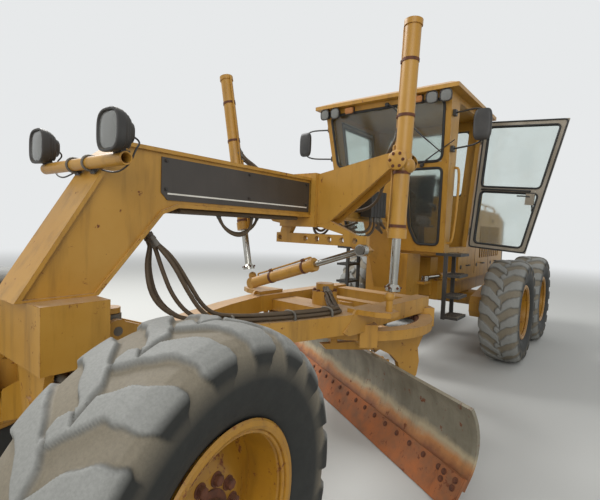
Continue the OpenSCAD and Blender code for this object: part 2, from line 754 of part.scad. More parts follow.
module tip_frame() {
  low = rail_low_x - touch;
  high = rail_high_x - touch;
  color("goldenrod") at_blade() difference() {
    union() {
      for (s = [left, right]) {
        pin_y([tip_at[0], s * arm_y, tip_at[2]], arm_t + 100, tip_pin_r - fit);
        for (k = [-1, 1])
          side_cut(s * (arm_y + k * (arm_t / 2 + 6)), s * (arm_y + k * (arm_t / 2 + 26))) polygon([
            tip_at2(-42, 10), tip_at2(-25, -40), tip_at2(25, -42), [low, rail_low_z - 80],
            [low, rail_low_z + rail_h], [high, rail_high_z - 20], [high, rail_high_z + rail_h],
            [high - 60, rail_high_z + rail_h], [high - 70, rail_low_z + rail_h]]);
      }
      // upper and lower slide carriers
      block([high - 40, -carrier_y, rail_high_z], [high, carrier_y, rail_high_z + rail_h]);
      block([low - 36, -carrier_y, rail_low_z + 5], [low, carrier_y, rail_low_z + rail_h - 5]);
      // lug for the tip cylinder's rod
      side_cut(-15, 15) polygon([[high - 5, rail_high_z + rail_h - 5], [high - 60, rail_high_z + rail_h - 5],
        tip_eye2(-30, 20), tip_eye2(-28, -20), tip_eye2(10, -30), [high - 5, rail_high_z - 40]]);
      bar([shift_bar_x, -arm_y - 200, shift_bar_z], [shift_bar_x, shift_bar_end, shift_bar_z], shift_bar_r);
    }
    bar([shift_bar_x, -arm_y - 201, shift_bar_z], [shift_bar_x, shift_bar_end - 40, shift_bar_z],
      shift_rod_r + touch);
  }
}

module tip_barrel() {
  color("goldenrod") at_blade() translate([0, tip_eye_y, 0]) difference() {
    union() {
      along(tip_base, tip_top) translate([0, 0, 20]) cylinder(h = 280, r = 34);
      pin_y(tip_base, tip_eye_w, 38);
    }
    along(tip_base, tip_top) translate([0, 0, 52]) cylinder(h = 300, r = 16 + touch);
    pin_y(tip_base, 80, 18);
  }
}

module tip_rod() {
  color("silver") at_blade() translate([0, tip_eye_y, 0]) union() {
    along(tip_top, tip_base) cylinder(h = 355, r = 16);
    pin_y(tip_top, tip_eye_w, 34);
    // stub of the pin, short of the slide carrier's lug
    pin_y(tip_top - [0, tip_eye_w / 2 + 11, 0], 24, 18);
  }
}

// moldboard's section: an arc that leans, concave to the front, with a flat lip below
function arc(r, a0, a1, k) = [for (i = [0:k]) let (a = a0 + (a1 - a0) * i / k) [r * cos(a), r * sin(a)]];
blade_mid_z = 400;
lip_z = 190;
blade_cx = blade_r + 6;
blade_top_z = blade_h + blade_gap;
arc_low = asin((blade_mid_z - lip_z) / blade_r);
arc_high = asin((blade_top_z - blade_mid_z) / blade_r);
lip_len = 75;
edge_t = 20;
// a point so far down the lip and so far out from its front face
function on_lip(down, out) = [blade_cx - blade_r * cos(arc_low) + down * sin(arc_low) + out * cos(arc_low),
  lip_z - down * cos(arc_low) + out * sin(arc_low)];
// how far down the lip a line lies at the cutting edge's foot
function lip_foot(out) = (lip_z + out * sin(arc_low) - blade_gap) / cos(arc_low);
y_tail = blade_shift - blade_len / 2;
y_head = blade_shift + blade_len / 2;

module moldboard() {
  color("darkseagreen") at_blade() union() {
    side_cut(y_tail, y_head) polygon(concat(
      [for (p = arc(blade_r, 180 + arc_low, 180 - arc_high, 14)) p + [blade_cx, blade_mid_z]],
      [for (p = arc(blade_r + blade_t, 180 - arc_high, 180 + arc_low, 14)) p + [blade_cx, blade_mid_z]],
      [on_lip(lip_len, -blade_t), on_lip(lip_len, 0)]));
    // slide rails on the back
    side_cut(y_tail + 400, y_head - 400) polygon([[rail_low_x, rail_low_z], [8, rail_low_z],
      [4, rail_low_z + rail_h], [rail_low_x, rail_low_z + rail_h]]);
    side_cut(y_tail + 400, y_head - 400) polygon([[rail_high_x, rail_high_z], [12, rail_high_z],
      [30, rail_high_z + rail_h], [rail_high_x, rail_high_z + rail_h]]);
    // side shift rod and the bracket that pulls it
    bar([shift_bar_x, y_tail + 260, shift_bar_z], [shift_bar_x, -150, shift_bar_z], shift_rod_r);
    block([shift_bar_x - 25, y_tail + 240, shift_bar_z - 30], [0, y_tail + 280, shift_bar_z + 30]);
  }
}

module cutting_edge() {
  color("sienna") at_blade() side_cut(y_tail, y_head) polygon([on_lip(4, touch), on_lip(4, edge_t),
    on_lip(lip_foot(edge_t), edge_t), on_lip(lip_foot(touch), touch)]);
}

// cab

// half width of the cab at a height
function cab_y(z) = cab_low + (cab_high - cab_low) * (z - floor_z) / (roof_z - floor_z);
// X of the cab's front face at a height
function cab_x(z) = cab_front + cab_lean * (z - floor_z) / (roof_z - floor_z);
side_lean = atan((cab_high - cab_low) / (roof_z - floor_z));
hinge_x = 1450;
// free edge of a closed door, at the sill and at the top
door_low_x = 2090;
door_high_x = 2325;
sill_z = floor_z + 60;
wind_z0 = 2420;
wind_z1 = 3030;

// outline in X and height laid in the leaning side wall, from so far outside its face to t inside
module on_side(s, t, outside = 0) {
  translate([0, s * cab_low, floor_z]) rotate([-s * side_lean, 0, 0])
    translate([0, s > 0 ? outside : t, 0])
      rotate([90, 0, 0]) linear_extrude(t + outside) translate([0, -floor_z]) children();
}

module side_outline() {
  polygon([[cab_back, floor_z], [cab_front, floor_z], [cab_x(roof_z), roof_z], [cab_back, roof_z]]);
}

module door_outline(grow = 0) {
  polygon([[hinge_x - grow, sill_z - grow], [door_low_x + grow, sill_z - grow],
    [door_high_x + grow, roof_z - 60 + grow], [hinge_x - grow, roof_z - 60 + grow]]);
}

// outlines in Y and Z of the rear window, and of the tall window below the windscreen on one side
rear_window = [[-500, 2150], [500, 2150], [560, 2980], [-560, 2980]];
function low_window(s) = [[s * 250, 1730], [s * 330, floor_z + 90], [s * (cab_y(floor_z) - 70), floor_z + 90],
  [s * (cab_y(wind_z0) - 75), wind_z0 - 70], [s * 250, wind_z0 - 70]];

module cab_frame() {
  color("goldenrod") difference() {
    hull() {
      block([cab_back, -cab_low, floor_z], [cab_front, cab_low, floor_z + 1]);
      block([cab_back, -cab_high, roof_z - 1], [cab_x(roof_z), cab_high, roof_z]);
    }
    hull() {
      block([cab_back + wall_t, -cab_low + wall_t, floor_z + 40],
        [cab_front - wall_t, cab_low - wall_t, floor_z + 41]);
      block([cab_back + wall_t, -cab_high + wall_t, roof_z + 1],
        [cab_x(roof_z) - wall_t, cab_high - wall_t, roof_z + 2]);
    }
    // door openings
    for (s = [left, right])
      on_side(s, 300, 30) door_outline(6);
    // windscreen, lower front windows and rear window
    end_cut(cab_front - 100, 3000) polygon([[-cab_y(wind_z0) + 75, wind_z0], [cab_y(wind_z0) - 75, wind_z0],
      [cab_y(wind_z1) - 75, wind_z1], [-cab_y(wind_z1) + 75, wind_z1]]);
    for (s = [left, right])
      end_cut(cab_front - 100, 3000) polygon(low_window(s));
    end_cut(cab_back - 10, cab_back + wall_t + 60) polygon(rear_window);
  }
}

module cab_roof() {
  over = 90;
  color("goldenrod") hull() {
    block([cab_back - 40, -cab_high - over, roof_z + touch],
      [cab_x(roof_z) + over, cab_high + over, roof_z + 40]);
    block([cab_back + 60, -cab_high + 60, roof_z + 120],
      [cab_x(roof_z) - 120, cab_high - 60, roof_z + 130]);
  }
}

glass_t = 8;
module cab_glass() {
  e = touch;
  color("lightsteelblue") intersection() {
    // the front panes lie in the leaning front wall, the rear one in the rear wall
    union() {
      end_cut(cab_front - 100, 3000) union() {
        polygon([[-cab_y(wind_z0) + 75 + e, wind_z0 + e], [cab_y(wind_z0) - 75 - e, wind_z0 + e],
          [cab_y(wind_z1) - 75 - e, wind_z1 - e], [-cab_y(wind_z1) + 75 + e, wind_z1 - e]]);
        for (s = [left, right])
          offset(delta = -e) polygon(low_window(s));
      }
      end_cut(cab_back - 10, cab_back + wall_t + 60) offset(delta = -e) polygon(rear_window);
    }
    union() {
      side_cut(-900, 900) polygon([[cab_front - 30, floor_z], [cab_front - 30 + glass_t, floor_z],
        [cab_x(roof_z) - 30 + glass_t, roof_z], [cab_x(roof_z) - 30, roof_z]]);
      block([cab_back + 20, -700, floor_z], [cab_back + 20 + glass_t, 700, roof_z]);
    }
  }
}

// doors, drawn closed and then swung about their rear edge

// a point of the hinge line, and its direction up the leaning post
function hinge_foot(s) = [hinge_x - 16, s * (cab_low + 12), floor_z];
module swung_door(s, deg) {
  translate(hinge_foot(s)) rotate([-s * side_lean, 0, 0]) rotate([0, 0, deg])
    rotate([s * side_lean, 0, 0]) translate(-hinge_foot(s)) children();
}

door_frame_w = 60;
module door_windows() {
  intersection() {
    offset(delta = -door_frame_w) door_outline(-4);
    union() {
      translate([0, 2260]) square([4000, 1000]);
      translate([0, 1000]) square([4000, 1200]);
    }
  }
}

door_t = 38;
module door_panel(s) {
  color("dimgray") difference() {
    union() {
      on_side(s, door_t) door_outline(-4);
      // hinge knuckles outside the rear post, and the straps that carry the door
      for (z = [sill_z + 150, roof_z - 320]) {
        translate(hinge_foot(s)) rotate([-s * side_lean, 0, 0]) translate([0, 0, z - floor_z])
          cylinder(h = 90, r = 12 - touch);
        translate([0, s * cab_low, floor_z]) rotate([-s * side_lean, 0, 0]) {
          block([hinge_x - 16, s * 1, z - floor_z], [hinge_x + 60, s * 10, z - floor_z + 90]);
          block([hinge_x + 8, s * -6, z - floor_z], [hinge_x + 60, s * 2, z - floor_z + 90]);
        }
      }
    }
    on_side(s, 60, 30) door_windows();
  }
}

module door_pane(s) {
  color("lightsteelblue")
    on_side(s, 22) offset(delta = -touch) door_windows();
}

module door_left() { swung_door(left, 90) door_panel(left); }
module door_left_glass() { swung_door(left, 90) door_pane_slab(left); }
module door_right() { door_panel(right); }
module door_right_glass() { door_pane_slab(right); }

module door_pane_slab(s) {
  color("lightsteelblue") difference() {
    door_pane(s);
    on_side(s, 14, 20) door_outline(10);
  }
}

module seat() {
  color("dimgray") union() {
    block([1540, -150, floor_z + 40 + touch], [1840, 150, floor_z + 300]);
    block([1480, -250, floor_z + 300], [1960, 250, floor_z + 420]);
    side_cut(-240, 240) polygon([[1480, floor_z + 420], [1590, floor_z + 420], [1500, floor_z + 1010],
      [1410, floor_z + 1010]]);
  }
}

module console() {
  color("dimgray") union() {
    side_cut(-110, 110) polygon([[2140, floor_z + 40 + touch], [2190, floor_z + 40 + touch],
      [2210, floor_z + 420], [2120, floor_z + 640], [2080, floor_z + 620], [2150, floor_z + 400]]);
    // steering wheel on its column
    translate([2060, 0, floor_z + 660]) rotate([0, -35, 0]) union() {
      difference() {
        translate([0, 0, -10]) cylinder(h = 20, r = 204);
        translate([0, 0, -11]) cylinder(h = 22, r = 176);
      }
      translate([0, 0, -80]) cylinder(h = 96, r = 34);
      for (a = [0, 120, 240])
        rotate([0, 0, a]) translate([15, -12, -6]) cube([165, 24, 12]);
    }
    // two banks of blade levers
    for (s = [left, right], i = [0:4])
      bar([2185, s * (125 + 32 * i), floor_z + 380], [2205, s * (125 + 34 * i), floor_z + 590 + 6 * i],
        9, $fn = 8);
    for (s = [left, right])
      block([2120, s * 105, floor_z + 340], [2215, s * 290, floor_z + 400]);
  }
}

// steps, lamps, mirrors, valves and hoses

step_x0 = 1960;
step_x1 = 2270;
step_y0 = 650;
step_y1 = 830;
// the right steps stand further back, clear of the raised blade's end
step_back = 160;
module steps() {
  color("dimgray") for (s = [left, right]) translate([s == left ? 0 : -step_back, 0, 0]) {
    for (x = [step_x0, step_x1 - 30])
      block([x, s * step_y0, 720], [x + 30, s * (step_y0 + 40), floor_z - 20]);
    for (z = [730, 960, 1190])
      block([step_x0, s * step_y0, z], [step_x1, s * step_y1, z + 30]);
    block([step_x0, s * (560 + touch), floor_z - 30], [step_x1, s * step_y1, floor_z - touch]);
  }
}

lamp_x = wheelbase - 105;
lamp_z = 1950;
lamp_reach = 430;
// X of the front leg's face at a height
function leg_x(z) = bend_x + 140 + flange_t / 2
  + (bolster_x1 - 100 - bend_x) * (frame_top - 60 - z) / (frame_top - 60 - bolster_top);
module lamps() {
  color("dimgray") {
    // cross tube with hollow ends, on two brackets that stand on the front leg
    difference() {
      union() {
        bar([lamp_x, -lamp_reach, lamp_z], [lamp_x, lamp_reach, lamp_z], 30);
        for (s = [left, right])
          side_cut(s * 60, s * 110) polygon([[leg_x(lamp_z + 50) + 1, lamp_z + 50], [lamp_x, lamp_z + 25],
            [lamp_x, lamp_z - 25], [leg_x(lamp_z - 50) + 1, lamp_z - 50]]);
      }
      bar([lamp_x, -lamp_reach - 1, lamp_z], [lamp_x, lamp_reach + 1, lamp_z], 24);
    }
    for (s = [left, right])
      translate([lamp_x + 40, s * 390, lamp_z + 115]) {
        // round bowl with its rim, on a post that stands on the cross tube
        rotate([0, -90, 0]) cylinder(h = 80, r1 = 88, r2 = 50);
        pin_x([15, 0, 0], 31, 95);
        block([-55, -12, -120], [-25, 12, -60]);
      }
  }
}

mirror_z = 2860;
module mirrors() {
  x = cab_x(mirror_z) - 60;
  color("dimgray") for (s = [left, right]) {
    // foot flat on the leaning front post, tube and mirror
    translate([0, s * cab_low, floor_z]) rotate([-s * side_lean, 0, 0])
      block([x - 30, s * touch, mirror_z - floor_z - 35], [x + 30, s * 14, mirror_z - floor_z + 35]);
    bar([x, s * (cab_y(mirror_z) + 10), mirror_z], [x + 110, s * (cab_y(mirror_z) + 320), mirror_z], 12);
    block([x + 90, s * (cab_y(mirror_z) + 230), 2570], [x + 130, s * (cab_y(mirror_z) + 400), 2870]);
  }
}

// valve banks on both sides of the beam, behind the saddle
valve_x = min(beam_x + 100, saddle_x - 520);
module valve_bank() {
  web = frame_w / 2 - flange_lip + touch;
  color("dimgray") for (s = [left, right]) {
    block([valve_x, s * web, 1840], [valve_x + 330, s * (web + 35), 2000]);
    for (i = [0:4])
      block([valve_x + 10 + i * 62, s * (web + 34), 1800], [valve_x + 65 + i * 62, s * (web + 150), 2050]);
  }
}

hose_r = 14;
module hoses() {
  z = frame_bottom - flange_t / 2 - touch - hose_r;
  color("dimgray") for (s = [left, right], i = [0:2])
    hose([[ball_x - 360, s * (20 + 40 * i), z], [saddle_x + 770, s * (25 + 40 * i), z],
      [saddle_x + 270, s * (30 + 40 * i), z]], hose_r);
}

// rear frame with engine hood and tandem drive

rail_y = 330;
rail_low = 800;
rail_top = 1050;
hood_x0 = -1600;
hood_x1 = 980;
hood_half = 420;
hood_top = 2050;

module rear_frame() {
  color("goldenrod") union() {
    for (s = [left, right])
      block([-1750, s * 230, rail_low], [1500, s * rail_y, rail_top]);
    // decks the hood stands on
    for (s = [left, right])
      block([hood_x0, s * (rail_y - 1), rail_top - 40], [hood_x1, s * hood_half, rail_top]);
    // hitch head with its two pairs of lugs
    block([1330, -260, 860], [1590, 260, 1350]);
    block([1330, -rail_y, 860], [1500, rail_y, 1050]);
    for (z = [hitch_low + tongue_t + gap, hitch_high - gap - 60]) {
      block([1580, -110, z], [hitch_x, 110, z + 60]);
      translate([hitch_x, 0, z]) cylinder(h = 60, r = 110);
    }
    translate([hitch_x, 0, hitch_low - 25])
      cylinder(h = hitch_high + tongue_t - hitch_low + 50, r = hitch_pin_r - fit);
    block([-1750, -rail_y, 820], [-1650, rail_y, 1030]);
    block([-300, -rail_y, 820], [300, rail_y, 1000]);
    // ears for the articulation cylinders' barrels
    for (s = [left, right]) {
      block([artic_rear_x - 55, s * 320, artic_z - 80],
        [artic_rear_x + 55, s * (artic_rear_y + 45), artic_z - 48]);
      pin_z(artic_base(s) - [0, 0, 6], 88, artic_pin_r - fit);
    }
  }
}

module tandem_cases() {
  half = tandem_spacing / 2;
  color("goldenrod") union() {
    for (s = [left, right]) {
      // saddle between the axle housing and the rear frame's rail
      block([-90, s * 230, axle_z + 100], [90, s * rail_y, rail_low - touch]);
      side_cut(s * tandem_in, s * tandem_out) polygon([[-half - 150, axle_z - 60], [-half - 150, axle_z + 60],
        [-half - 90, axle_z + 140], [-200, axle_z + 253], [200, axle_z + 253], [half + 90, axle_z + 140],
        [half + 150, axle_z + 60], [half + 150, axle_z - 60], [half + 90, axle_z - 140], [200, axle_z - 253],
        [-200, axle_z - 253], [-half - 90, axle_z - 140]]);
      for (x = [-half, half])
        pin_y([x, s * (tandem_out + 160), axle_z], 330, stub_r);
    }
    pin_y([0, 0, axle_z], 2 * tandem_in + 20, 120);
  }
}

module hood() {
  color("goldenrod") difference() {
    side_cut(-hood_half, hood_half) polygon([[hood_x0, rail_top + touch], [hood_x1, rail_top + touch],
      [hood_x1, hood_top], [-1200, hood_top], [hood_x0, hood_top - 120]]);
    side_cut(-hood_half + 25, hood_half - 25) polygon([[hood_x0 - 10, rail_top], [hood_x1 - 25, rail_top],
      [hood_x1 - 25, hood_top - 25], [-1200, hood_top - 25], [hood_x0 - 10, hood_top - 145]]);
    for (s = [left, right], i = [0:9])
      block([-1300 + i * 130, s * (hood_half - 60), 1300], [-1220 + i * 130, s * (hood_half + 10), 1800]);
  }
}

module radiator_grille() {
  color("dimgray") difference() {
    block([hood_x0 - 70, -hood_half, rail_top + touch], [hood_x0 - touch, hood_half, hood_top - 125]);
    for (i = [0:9])
      block([hood_x0 - 80, -hood_half + 60, 1130 + i * 72], [hood_x0 + 1, hood_half - 60, 1170 + i * 72]);
  }
}

module engine() {
  color("dimgray") union() {
    block([-1100, -300, rail_top + touch], [300, 300, 1850]);
    block([300, -200, rail_top + touch], [900, 200, 1400]);
  }
}

module exhaust() {
  color("dimgray") {
    bar([-500, 150, hood_top + touch], [-500, 150, hood_top + 700], 60);
    bar([200, -150, hood_top + touch], [200, -150, hood_top + 420], 75);
  }
}

tow_r = 26;
tow_z = 895;
module rear_bumper() {
  color("goldenrod") difference() {
    union() {
      block([-tail_x + 90, -600, 780], [-1750 - touch, 600, 1040]);
      // tow plate with its bore
      block([-tail_x, -70, tow_z - 25], [-tail_x + 91, 70, tow_z + 25]);
    }
    pin_z([-tail_x + 48, 0, tow_z], 60, tow_r);
  }
}

// articulation cylinders, one on each side of the hitch

function artic_eye(s) = [artic_front_x, s * artic_front_y, artic_z];
function artic_base(s) = [artic_rear_x, s * artic_rear_y, artic_z];
artic_len = norm(artic_eye(left) - artic_base(left));

module artic_barrel(s) {
  color("goldenrod") difference() {
    union() {
      along(artic_base(s), artic_eye(s)) translate([0, 0, 20]) cylinder(h = 440, r = 42);
      pin_z(artic_base(s), 50, 44);
    }
    along(artic_base(s), artic_eye(s)) translate([0, 0, 60]) cylinder(h = 480, r = 25 + touch);
    pin_z(artic_base(s), 90, artic_pin_r);
  }
}

module artic_rod(s) {
  color("silver") union() {
    along(artic_eye(s), artic_base(s)) cylinder(h = artic_len - 200, r = 25);
    pin_z(artic_eye(s), 56, 42);
    // stub of the pin, short of the front frame's ear
    pin_z(artic_eye(s) - [0, 0, 29], 8, artic_pin_r);
  }
}

// everything is drawn from the tandem middle and set over the origin here
module placed() {
  translate([-mid_x, 0, 0]) children();
}

placed() main_frame();
placed() front_axle();
placed() lift_linkage();
placed() valve_bank();
placed() cab_frame();
placed() cab_roof();
placed() cab_glass();
placed() seat();
placed() console();
placed() steps();
placed() lamps();
placed() mirrors();
placed() hoses();
placed() door_left();
placed() door_left_glass();
placed() door_right();
placed() door_right_glass();
placed() lean_yoke(left);  // lean_yoke_left
placed() lean_yoke(right);  // lean_yoke_right
placed() lean_bar();
placed() knuckle(left);  // knuckle_left
placed() knuckle(right);  // knuckle_right
placed() tie_rod_end();
placed() tie_rod();
placed() front_wheel(left);  // front_wheel_left
placed() front_wheel(right);  // front_wheel_right
placed() lift_barrel(left);  // lift_barrel_left
placed() lift_barrel(right);  // lift_barrel_right
placed() lift_rod(left);  // lift_rod_left
placed() lift_rod(right);  // lift_rod_right
placed() shift_pin();
placed() shift_rod();
placed() shift_barrel();
placed() drawbar_swivel();
placed() drawbar();
placed() circle();
placed() tip_frame();
placed() tip_barrel();
placed() tip_rod();
placed() moldboard();
placed() cutting_edge();
placed() rear_frame();
placed() tandem_cases();
placed() hood();
placed() radiator_grille();
placed() engine();
placed() exhaust();
placed() rear_bumper();
placed() artic_barrel(left);  // artic_barrel_left
placed() artic_barrel(right);  // artic_barrel_right
placed() artic_rod(left);  // artic_rod_left
placed() artic_rod(right);  // artic_rod_right
placed() rear_wheel(left, tandem_spacing / 2);  // rear_wheel_left_front
placed() rear_wheel(left, -tandem_spacing / 2);  // rear_wheel_left_back
placed() rear_wheel(right, tandem_spacing / 2);  // rear_wheel_right_front
placed() rear_wheel(right, -tandem_spacing / 2);  // rear_wheel_right_back
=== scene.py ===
# Looks of a motor grader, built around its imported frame: materials first, then the pieces that dress it.
import json
import math
import bmesh
import bpy
import numpy as np
from mathutils import Matrix, Vector


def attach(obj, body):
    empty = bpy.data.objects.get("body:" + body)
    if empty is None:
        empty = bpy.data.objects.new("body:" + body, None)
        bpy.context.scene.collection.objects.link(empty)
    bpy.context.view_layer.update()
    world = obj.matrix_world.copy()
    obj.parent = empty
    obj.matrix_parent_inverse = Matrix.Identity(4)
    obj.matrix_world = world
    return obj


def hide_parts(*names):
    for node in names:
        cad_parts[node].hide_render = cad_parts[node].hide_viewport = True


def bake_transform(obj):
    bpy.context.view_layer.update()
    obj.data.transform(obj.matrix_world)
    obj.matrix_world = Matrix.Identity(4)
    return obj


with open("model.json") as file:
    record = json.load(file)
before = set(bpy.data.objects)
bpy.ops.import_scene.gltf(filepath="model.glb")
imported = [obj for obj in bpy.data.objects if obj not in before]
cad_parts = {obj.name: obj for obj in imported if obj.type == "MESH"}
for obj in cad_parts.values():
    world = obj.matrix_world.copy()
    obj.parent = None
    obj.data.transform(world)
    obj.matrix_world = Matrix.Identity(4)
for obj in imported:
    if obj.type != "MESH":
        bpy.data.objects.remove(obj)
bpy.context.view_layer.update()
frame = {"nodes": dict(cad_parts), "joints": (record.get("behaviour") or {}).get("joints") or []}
scene = bpy.context.scene
spinJoints = {joint["child"]: joint for joint in frame["joints"] if joint["name"].endswith("_spin")}
rearCentres = [Vector(spinJoints["rear_wheel_left_" + end]["pos_m"]) for end in ("front", "back")]
tandemMiddle = (rearCentres[0] + rearCentres[1]) / 2


def mm(x, y, z):
    # an offset given in millimetres
    return Vector((x / 1000, y / 1000, z / 1000))


def spot(x, y, z):
    # a place in millimetres, X counted forward from the middle of the tandem axles
    return Vector((tandemMiddle.x + x / 1000, y / 1000, z / 1000))


def linearColour(code):
    # sRGB hex code to the linear colour that a socket wants
    values = [int(code[i:i + 2], 16) / 255 for i in (1, 3, 5)]
    return [v / 12.92 if v <= 0.04045 else ((v + 0.055) / 1.055) ** 2.4 for v in values] + [1.0]


# camera at the photograph's place and angle
cameraLook = {
    "place": (4.4255, 2.160, 1.674),
    "turn": 37.89,
    "pitch": -3.16,
    "roll": 2.14,
    "focalPixels": 410.3,
    "imageWidth": 600,
    "sensorWidth": 36,
    "nearest": 0.02,
}


def makeCamera(look):
    turn, pitch, roll = (math.radians(look[k]) for k in ("turn", "pitch", "roll"))
    ahead = Vector((-math.cos(turn) * math.cos(pitch), -math.sin(turn) * math.cos(pitch), math.sin(pitch)))
    right = ahead.cross(Vector((0, 0, 1))).normalized()
    up = right.cross(ahead)
    tiltedRight = right * math.cos(roll) + up * math.sin(roll)
    tiltedUp = up * math.cos(roll) - right * math.sin(roll)
    data = bpy.data.cameras.new("photoCamera")
    data.sensor_width = look["sensorWidth"]
    data.lens = look["focalPixels"] * data.sensor_width / look["imageWidth"]
    data.clip_start = look["nearest"]
    view = bpy.data.objects.new("photoCamera", data)
    scene.collection.objects.link(view)
    turned = Matrix((tiltedRight, tiltedUp, -ahead)).transposed().to_4x4()
    view.matrix_world = Matrix.Translation(look["place"]) @ turned
    scene.camera = view


makeCamera(cameraLook)
print("camera set")


# node helpers
def addNode(tree, kind, inputs=None, **settings):
    node = tree.nodes.new(kind)
    for name, value in settings.items():
        setattr(node, name, value)
    for name, value in (inputs or {}).items():
        socket = node.inputs[name]
        if isinstance(value, bpy.types.NodeSocket):
            tree.links.new(value, socket)
        else:
            socket.default_value = value
    return node


def startMaterial(name):
    material = bpy.data.materials.new(name)
    material.use_nodes = True
    tree = material.node_tree
    tree.nodes.clear()
    shader = addNode(tree, "ShaderNodeBsdfPrincipled")
    addNode(tree, "ShaderNodeOutputMaterial", {"Surface": shader.outputs[0]})
    return material, tree, shader


def toneRamp(tree, factor, stops):
    node = addNode(tree, "ShaderNodeValToRGB", {"Fac": factor})
    elements = node.color_ramp.elements
    while len(elements) < len(stops):
        elements.new(0.5)
    for element, (place, value) in zip(elements, stops):
        element.position = place
        element.color = (value, value, value, 1)
    return node.outputs["Color"]


def mixColour(tree, factor, first, second):
    node = addNode(tree, "ShaderNodeMix", {0: factor}, data_type="RGBA")
    for socket, value in ((node.inputs[6], first), (node.inputs[7], second)):
        if isinstance(value, bpy.types.NodeSocket):
            tree.links.new(value, socket)
        else:
            socket.default_value = linearColour(value)
    return node.outputs[2]


def combine(tree, operation, first, second):
    node = addNode(tree, "ShaderNodeMath", {0: first, 1: second}, operation=operation, use_clamp=True)
    return node.outputs[0]


def speckle(tree, place, grainMm, detail=4, rough=0.6, stretch=(1, 1, 1)):
    moved = addNode(tree, "ShaderNodeMapping", {"Vector": place, "Scale": stretch})
    settings = {"Vector": moved.outputs[0], "Scale": 1000 / grainMm, "Detail": detail, "Roughness": rough}
    return addNode(tree, "ShaderNodeTexNoise", settings).outputs["Fac"]


def edgeMask(tree, radiusMm):
    # 1 where the bevelled normal leaves the face's own, along outer and inner edges
    bevel = addNode(tree, "ShaderNodeBevel", {"Radius": radiusMm / 1000}, samples=4)
    flat = addNode(tree, "ShaderNodeNewGeometry").outputs["Normal"]
    turned = addNode(tree, "ShaderNodeVectorMath", {0: bevel.outputs[0], 1: flat}, operation="DOT_PRODUCT")
    return toneRamp(tree, turned.outputs["Value"], [(0.80, 1), (0.985, 0)])


def finishShader(tree, shader, colour, rough, height, strength, distance=0.002):
    bump = addNode(tree, "ShaderNodeBump", {"Height": height, "Strength": strength, "Distance": distance})
    for name, value in (("Base Color", colour), ("Roughness", rough), ("Normal", bump.outputs[0])):
        tree.links.new(value, shader.inputs[name])


# what all the worn paints share: sizes of their grains in millimetres, and the rust
wearLook = {
    "wave": 220,
    "waveHeight": 0.16,
    "streak": 90,
    "streakStretch": (1, 1, 0.12),
    "dustGrain": 60,
    "chip": 35,
    "rustGrain": 14,
    "rustDark": "#3A2015",
    "rustLight": "#8A4B26",
    "sheet": 500,
    "pit": 6,
    "dull": 0.85,
    "bump": 0.25,
}


def wornPaint(name, look, wear):
    # weathered enamel over steel: faded in broad patches, streaked by rain, chipped and rusty along edges,
    # with pale dust where a face points up
    material, tree, shader = startMaterial(name)
    place = addNode(tree, "ShaderNodeTexCoord")
    at = place.outputs["Object"]
    fade = toneRamp(tree, speckle(tree, at, look["fadeMm"], 6), [(0.35, 0), (0.68, 1)])
    colour = mixColour(tree, fade, look["colour"], look["faded"])
    if "band" in look:
        # each tone starts below its own height, along a wavy edge
        high = addNode(tree, "ShaderNodeSeparateXYZ", {0: at}).outputs["Z"]
        wave = {0: speckle(tree, at, wear["wave"], 5), 1: wear["waveHeight"], 2: high}
        wavy = addNode(tree, "ShaderNodeMath", wave, operation="MULTIPLY_ADD").outputs[0]
        for edge, tone in zip(look["band"], look["bandTones"]):
            reach = {"Value": wavy, "From Min": edge + 0.03, "From Max": edge - 0.02}
            near = addNode(tree, "ShaderNodeMapRange", reach)
            colour = mixColour(tree, near.outputs[0], colour, tone)
    rain = speckle(tree, at, wear["streak"], 5, 0.65, wear["streakStretch"])
    colour = mixColour(tree, toneRamp(tree, rain, [(0.5, 0), (0.78, look["streaks"])]), colour, look["grime"])
    up = addNode(tree, "ShaderNodeSeparateXYZ", {0: place.outputs["Normal"]}).outputs["Z"]
    dusty = toneRamp(tree, up, [(0.55, 0), (0.95, 1)])
    grain = toneRamp(tree, speckle(tree, at, wear["dustGrain"], 8, 0.7), [(0.3, 0.35), (0.7, 1)])
    dust = combine(tree, "MULTIPLY", combine(tree, "MULTIPLY", dusty, grain), look["dustShare"])
    colour = mixColour(tree, dust, colour, look["dust"])
    chips = toneRamp(tree, speckle(tree, at, wear["chip"], 8, 0.75), [(0.47, 0), (0.60, 1)])
    edgeRust = combine(tree, "MULTIPLY", edgeMask(tree, look["edgeMm"]), chips)
    spotted = [(look["spotFrom"], 0), (look["spotFrom"] + 0.05, 1)]
    spots = toneRamp(tree, speckle(tree, at, look["spotMm"], 10, 0.72), spotted)
    rust = combine(tree, "MAXIMUM", combine(tree, "MULTIPLY", edgeRust, look["edgeRust"]), spots)
    rustTone = mixColour(tree, speckle(tree, at, wear["rustGrain"], 6), wear["rustDark"], wear["rustLight"])
    colour = mixColour(tree, rust, colour, rustTone)
    rough = combine(tree, "MAXIMUM", combine(tree, "MULTIPLY", rust, wear["dull"]), look["roughness"])
    rough = combine(tree, "MAXIMUM", rough, combine(tree, "MULTIPLY", dust, wear["dull"]))
    height = mixColour(tree, rust, speckle(tree, at, wear["sheet"], 3), speckle(tree, at, wear["pit"], 6))
    finishShader(tree, shader, colour, rough, height, wear["bump"])
    shader.inputs["Metallic"].default_value = look.get("metal", 0)
    return material


